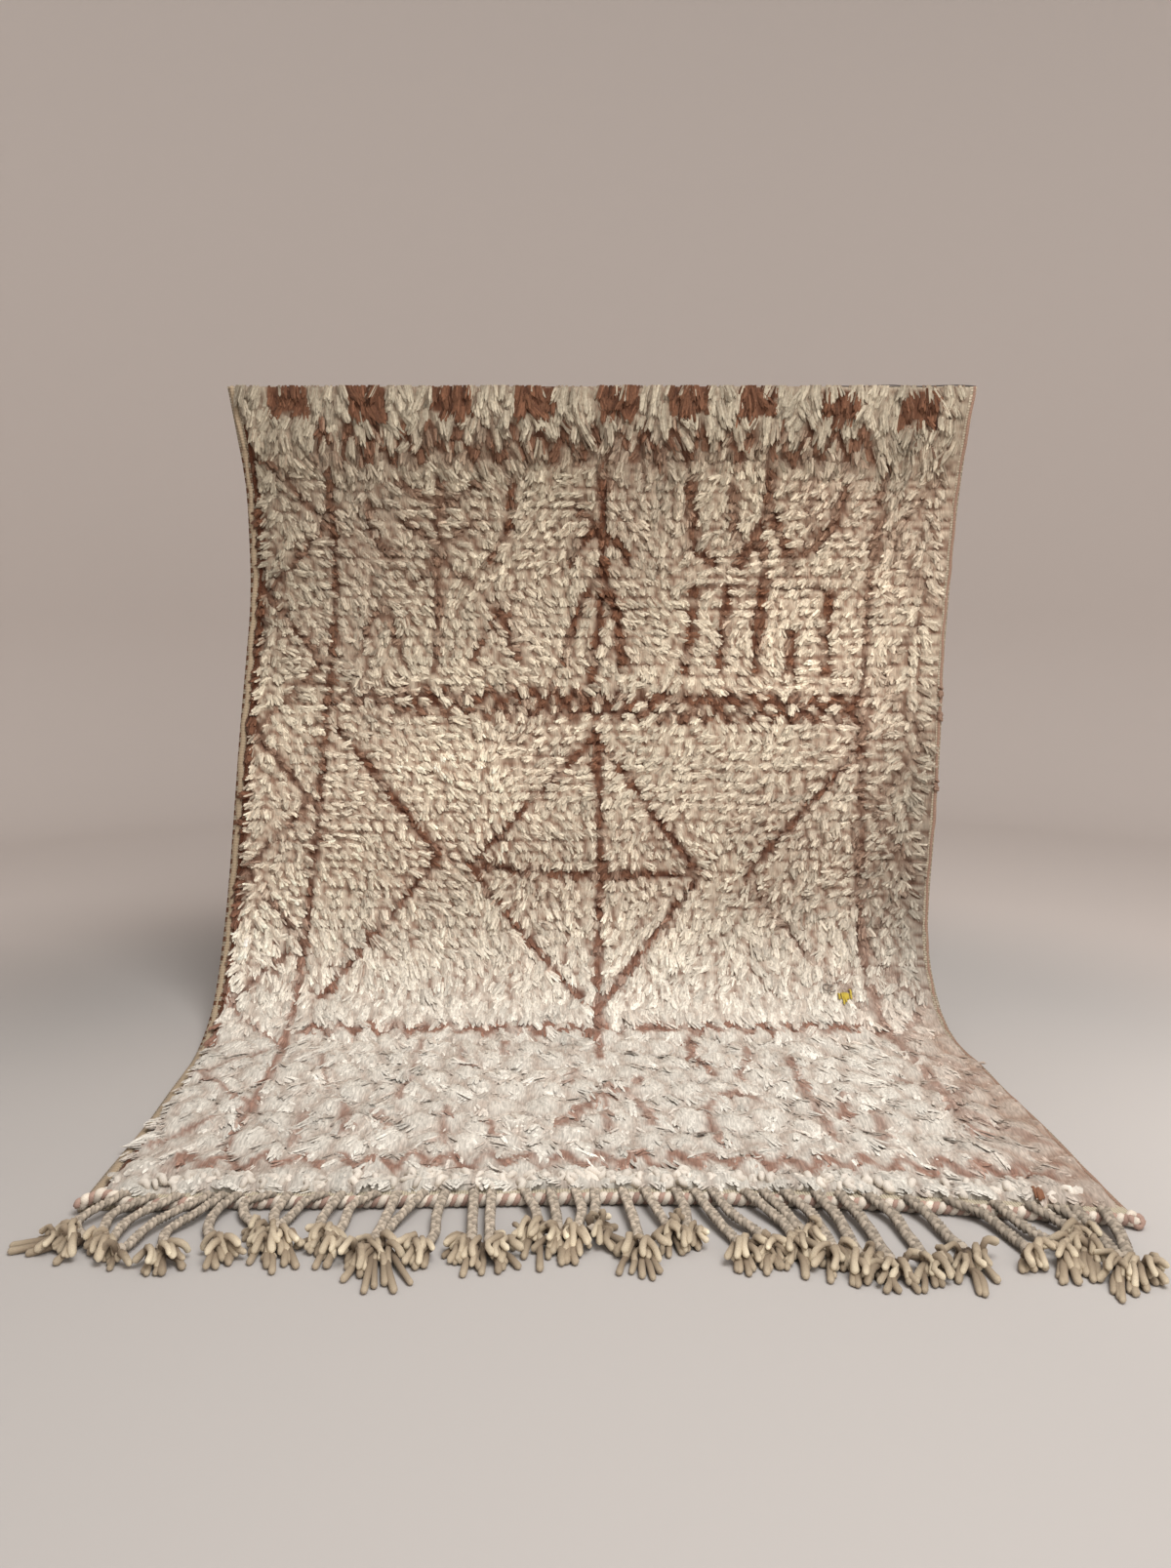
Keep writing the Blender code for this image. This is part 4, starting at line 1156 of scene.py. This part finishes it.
def build_marks(drape, material):
    """A dark line along the top end, the yellow tuft, the grey curls beside it and tufts on the right edge.
    """
    bundle = Bundle()
    # A thin dark tube along part of the top end
    across = np.linspace(*DARK_LINE_ENDS, 60)
    dark_line = drape.raised(across, 0.0, 0.004 + 0.002 * np.sin(across * 90))
    dark_line[:, 2] += 0.0012 + 0.0012 * np.sin(across * 47)
    bundle.tube(dark_line, 0.0014, 0.0014, DARK_LINE, 5, up=(0, -1, 0.2))
    generator = np.random.default_rng(3)
    for _ in range(14):
        across = YELLOW_TUFT[0] + generator.normal(0, 0.006)
        point, along, facing = drape.at(across, YELLOW_TUFT[1] + generator.normal(0, 0.004))
        path = [point + facing * 0.012, point + facing * 0.021 + along * 0.007,
                point + facing * 0.020 + along * 0.017]
        bundle.tube(smooth_curve(path, 2), 0.0022, 0.0018, YELLOW, 5, up=facing)
    for shift in (0.0, 0.011):
        point, along, facing = drape.at(GREY_CURL[0] + shift, GREY_CURL[1] + shift * 0.3)
        loop = [point + facing * (0.020 + 0.003 * math.sin(a)) + along * 0.009 * math.sin(a)
                + np.array((0.007, 0, 0)) * math.cos(a) for a in np.linspace(0.5, 5.2, 14)]
        bundle.tube(loop, 0.0017, 0.0014, GREY, 5, up=facing)
    for run in EDGE_TUFTS:
        for _ in range(9):
            point, along, facing = drape.at(TUFT_RIGHT, run + generator.normal(0, 0.005))
            reach = generator.uniform(0.003, 0.010)
            path = [point + facing * 0.003, point + facing * 0.009 + np.array((reach * 0.6, 0, 0)),
                    point + facing * 0.008 + np.array((reach, 0, 0)) + along * 0.004]
            bundle.tube(smooth_curve(path, 2), 0.0026, 0.0024, PINK_BROWN, 5, up=facing)
    return bundle.piece("small_marks", material)


# ---------------------------------------------------------------- materials

class Graph:
    """A new material's nodes; inputs are given as a plain value or as the output that feeds them."""

    def __init__(self, name, inputs):
        self.material = bpy.data.materials.new(name)
        self.material.use_nodes = True
        self.shader = self.material.node_tree.nodes["Principled BSDF"]
        self.feed(self.shader, inputs)

    def feed(self, node, inputs):
        for socket, value in inputs.items():
            if isinstance(value, bpy.types.NodeSocket):
                self.material.node_tree.links.new(value, node.inputs[socket])
            else:
                node.inputs[socket].default_value = value

    def add(self, kind, inputs=(), output=0, **settings):
        """Makes a node with its settings and inputs, and gives back one of its outputs."""
        node = self.material.node_tree.nodes.new("ShaderNode" + kind)
        for setting, value in settings.items():
            setattr(node, setting, value)
        self.feed(node, dict(inputs))
        return node.outputs[output]

    def scale(self, colour, amount):
        return self.add("VectorMath", {0: colour, "Scale": amount}, "Vector", operation="SCALE")

    def finish(self, inputs):
        self.feed(self.shader, inputs)
        return self.material


def wool(name, grain=900, depth=0.25, sheen=0.25, stretch=1.0, low=0.86, high=1.12):
    """Wool in the colours painted on its points, with lighter and darker fibres drawn out down the rug."""
    graph = Graph(name, {"Roughness": 0.85, "Sheen Weight": sheen, "Sheen Roughness": 0.5,
                         "Sheen Tint": (1.0, 0.84, 0.70, 1), "Specular IOR Level": 0.15})
    painted = graph.add("VertexColor", output="Color", layer_name="wool")
    place = graph.add("TexCoord", output="Object")
    drawn = graph.add("VectorMath", {0: place, 1: (1.0, 1 / stretch, 1 / stretch)}, "Vector",
                      operation="MULTIPLY")
    speck = graph.add("TexNoise", {"Scale": grain, "Detail": 4, "Vector": drawn}, "Fac")
    level = graph.add("MapRange", {"Value": speck, "From Min": 0.3, "From Max": 0.7, "To Min": low,
                                   "To Max": high}, "Result")
    bump = graph.add("Bump", {"Strength": depth, "Distance": 0.001, "Height": speck}, "Normal")
    return graph.finish({"Base Color": graph.scale(painted, level), "Normal": bump})


def knotted_ground(name):
    """The foundation from behind: rows of knots in the pile's colours, with plain wefts between them."""
    graph = Graph(name, {"Roughness": 0.9, "Specular IOR Level": 0.2})
    place = graph.add("UVMap", output="UV", uv_map="cloth")
    knots = graph.add("TexBrick", {
        "Color1": (1.0, 1.0, 1.0, 1), "Color2": (0.78, 0.78, 0.78, 1), "Mortar": (0.34, 0.30, 0.26, 1),
        "Scale": 1.0, "Mortar Size": 0.0006, "Mortar Smooth": 0.6, "Brick Width": 0.0096,
        "Row Height": ROW_PITCH / 4, "Vector": place}, "Color", offset=0.5)
    down = graph.add("SeparateXYZ", {0: place}, "Y")
    row = graph.add("Math", {0: down, 1: ROW_PITCH / 2}, operation="PINGPONG")
    knotted = graph.add("MapRange", {
        "Value": row, "From Min": ROW_PITCH * 0.26, "From Max": ROW_PITCH * 0.24}, "Result")
    painted = graph.add("VertexColor", output="Color", layer_name="wool")
    body = graph.add("Mix", {"Factor": knotted, 6: WEFT, 7: painted}, 2, data_type="RGBA")
    tinted = graph.add("Mix", {"Factor": 1.0, 6: body, 7: knots}, 2, data_type="RGBA", blend_type="MULTIPLY")
    stain = graph.add("TexNoise", {"Scale": 60, "Detail": 4, "Vector": place}, "Fac")
    level = graph.add("MapRange", {"Value": stain, "To Min": 0.75, "To Max": 1.25}, "Result")
    bump = graph.add("Bump", {
        "Strength": 0.8, "Distance": 0.0012, "Height": knots.node.outputs["Fac"]}, "Normal", invert=True)
    return graph.finish({"Base Color": graph.scale(tinted, level), "Normal": bump})


def backdrop_paper():
    """Pale paper, duller round the rug, with a painted pool of light at the right and a painted shadow behind
    at the left.
    """
    graph = Graph("backdrop_paper", {"Roughness": 0.95, "Specular IOR Level": 0.1})
    place = graph.add("TexCoord", output="Object")
    far = graph.add("VectorMath", {0: place}, "Value", operation="LENGTH")
    fade = graph.add("MapRange", {"Value": far, "From Min": 1.15, "From Max": 2.0}, "Result",
                     interpolation_type="SMOOTHSTEP")
    colour = graph.add("Mix", {"Factor": fade, 6: (0.450, 0.430, 0.416, 1), 7: (0.585, 0.532, 0.502, 1)}, 2,
                       data_type="RGBA")
    # A painted pool of light at the right, and the rug's painted shadow behind it at the left
    for middle, reach, strength in [((1.48, -0.25, 0), 1.1, 1.36), ((-1.30, 0.85, 0), 1.0, 0.74)]:
        away = graph.add("VectorMath", {0: place, 1: middle}, "Value", operation="DISTANCE")
        pool = graph.add("MapRange", {"Value": away, "From Max": reach, "To Min": strength, "To Max": 1.0},
                         "Result", interpolation_type="SMOOTHSTEP")
        colour = graph.scale(colour, pool)
    return graph.finish({"Base Color": colour})


# ---------------------------------------------------------------- stage

def build_backdrop():
    """A round floor that curves up into a wall all round."""
    profile = [(0.0, 0.0), (1.2, 0.0), (3.0, 0.0)]
    profile += [(3.4 + 0.9 * math.sin(a), 0.9 - 0.9 * math.cos(a)) for a in np.linspace(0, math.pi / 2, 16)]
    profile += [(4.3, 5.5)]
    sides = 96
    angles = [2 * math.pi * side / sides for side in range(sides)]
    points = [(far * math.cos(a), far * math.sin(a), height) for far, height in profile for a in angles]
    faces = []
    for ring in range(len(profile) - 1):
        for side in range(sides):
            a, b = ring * sides + side, ring * sides + (side + 1) % sides
            faces.append((a, b, b + sides, a + sides))
    mesh = bpy.data.meshes.new("backdrop")
    mesh.from_pydata(points, [], faces)
    mesh.shade_smooth()
    mesh.materials.append(backdrop_paper())
    backdrop = add_object("backdrop", mesh)
    backdrop.location = (0, -0.54, FLOOR)


def light_stage():
    """Soft studio light: the air, and two round lamps."""
    world = bpy.data.worlds.new("studio_air")
    world.use_nodes = True
    air = world.node_tree.nodes["Background"]
    air.inputs["Color"].default_value = (1.0, 0.98, 0.95, 1)
    air.inputs["Strength"].default_value = 0.66
    bpy.context.scene.world = world
    for name, place, aim, size, power, tint in [
        ("soft_top", (0.9, -2.3, 2.3), (0, -0.35, -0.8), 2.2, 132, (1.0, 0.975, 0.95)),
        ("soft_front", (1.2, -3.8, 0.6), (0, -0.2, -0.6), 2.0, 32, (1.0, 0.965, 0.92)),
    ]:
        light = bpy.data.lights.new(name, "AREA")
        light.shape = "DISK"
        light.size = size
        light.energy = power
        light.color = tint
        lamp = add_object(name, light)
        lamp.location = place
        lamp.rotation_mode = "QUATERNION"
        lamp.rotation_quaternion = (Vector(aim) - Vector(place)).to_track_quat("-Z", "Y")


def place_camera():
    data = bpy.data.cameras.new("camera")
    data.sensor_fit = "AUTO"
    data.sensor_width = 36
    data.lens = 27.04
    data.clip_start = 0.05
    data.clip_end = 60
    camera = add_object("camera", data)
    camera.location = (-0.034, -2.50, -0.5017)
    camera.rotation_euler = (math.radians(82.7), 0, 0)
    bpy.context.scene.camera = camera


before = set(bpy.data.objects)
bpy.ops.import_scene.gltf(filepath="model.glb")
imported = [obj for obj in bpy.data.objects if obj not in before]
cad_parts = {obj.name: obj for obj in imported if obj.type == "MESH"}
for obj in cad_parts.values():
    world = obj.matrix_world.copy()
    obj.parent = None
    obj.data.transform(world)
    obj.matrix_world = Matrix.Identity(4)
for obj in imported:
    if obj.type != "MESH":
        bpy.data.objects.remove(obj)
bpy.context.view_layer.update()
drape = Drape()
strokes = pattern()
pile_wool = wool("pile_wool", grain=270, depth=0.6, sheen=0.2, stretch=1.6, low=0.74, high=1.24)
base_wool = wool("base_wool", grain=330, depth=0.9, sheen=0.2, stretch=5.0, low=0.66, high=1.22)
yarn = wool("yarn", grain=700, depth=0.4, sheen=0.15)
clumps = Clumps(drape, np.random.default_rng(17))
tufts = plant_tufts(drape, np.random.default_rng(5))
pile_pieces = [build_base(drape, strokes, clumps, *tufts, base_wool)]
pile_pieces += Pile(drape, strokes, clumps, *tufts).pieces(pile_wool)
ground = build_ground(drape, strokes, knotted_ground("ground_wool"))
selvedges = build_selvedges(drape, yarn)
marks = build_marks(drape, yarn)
curls = build_curls(drape, yarn)
strip = build_plain_strip(drape, yarn)
edge = build_edge(yarn)
braids, tassels = build_fringe(yarn)
for piece in [ground, selvedges, marks, curls, strip, *pile_pieces]:
    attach(piece, "root")
for piece in [edge, braids, tassels]:
    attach(piece, "root")
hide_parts("rug")
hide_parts("fringe")
build_backdrop()
light_stage()
place_camera()
bpy.context.scene.view_settings.view_transform = "Standard"
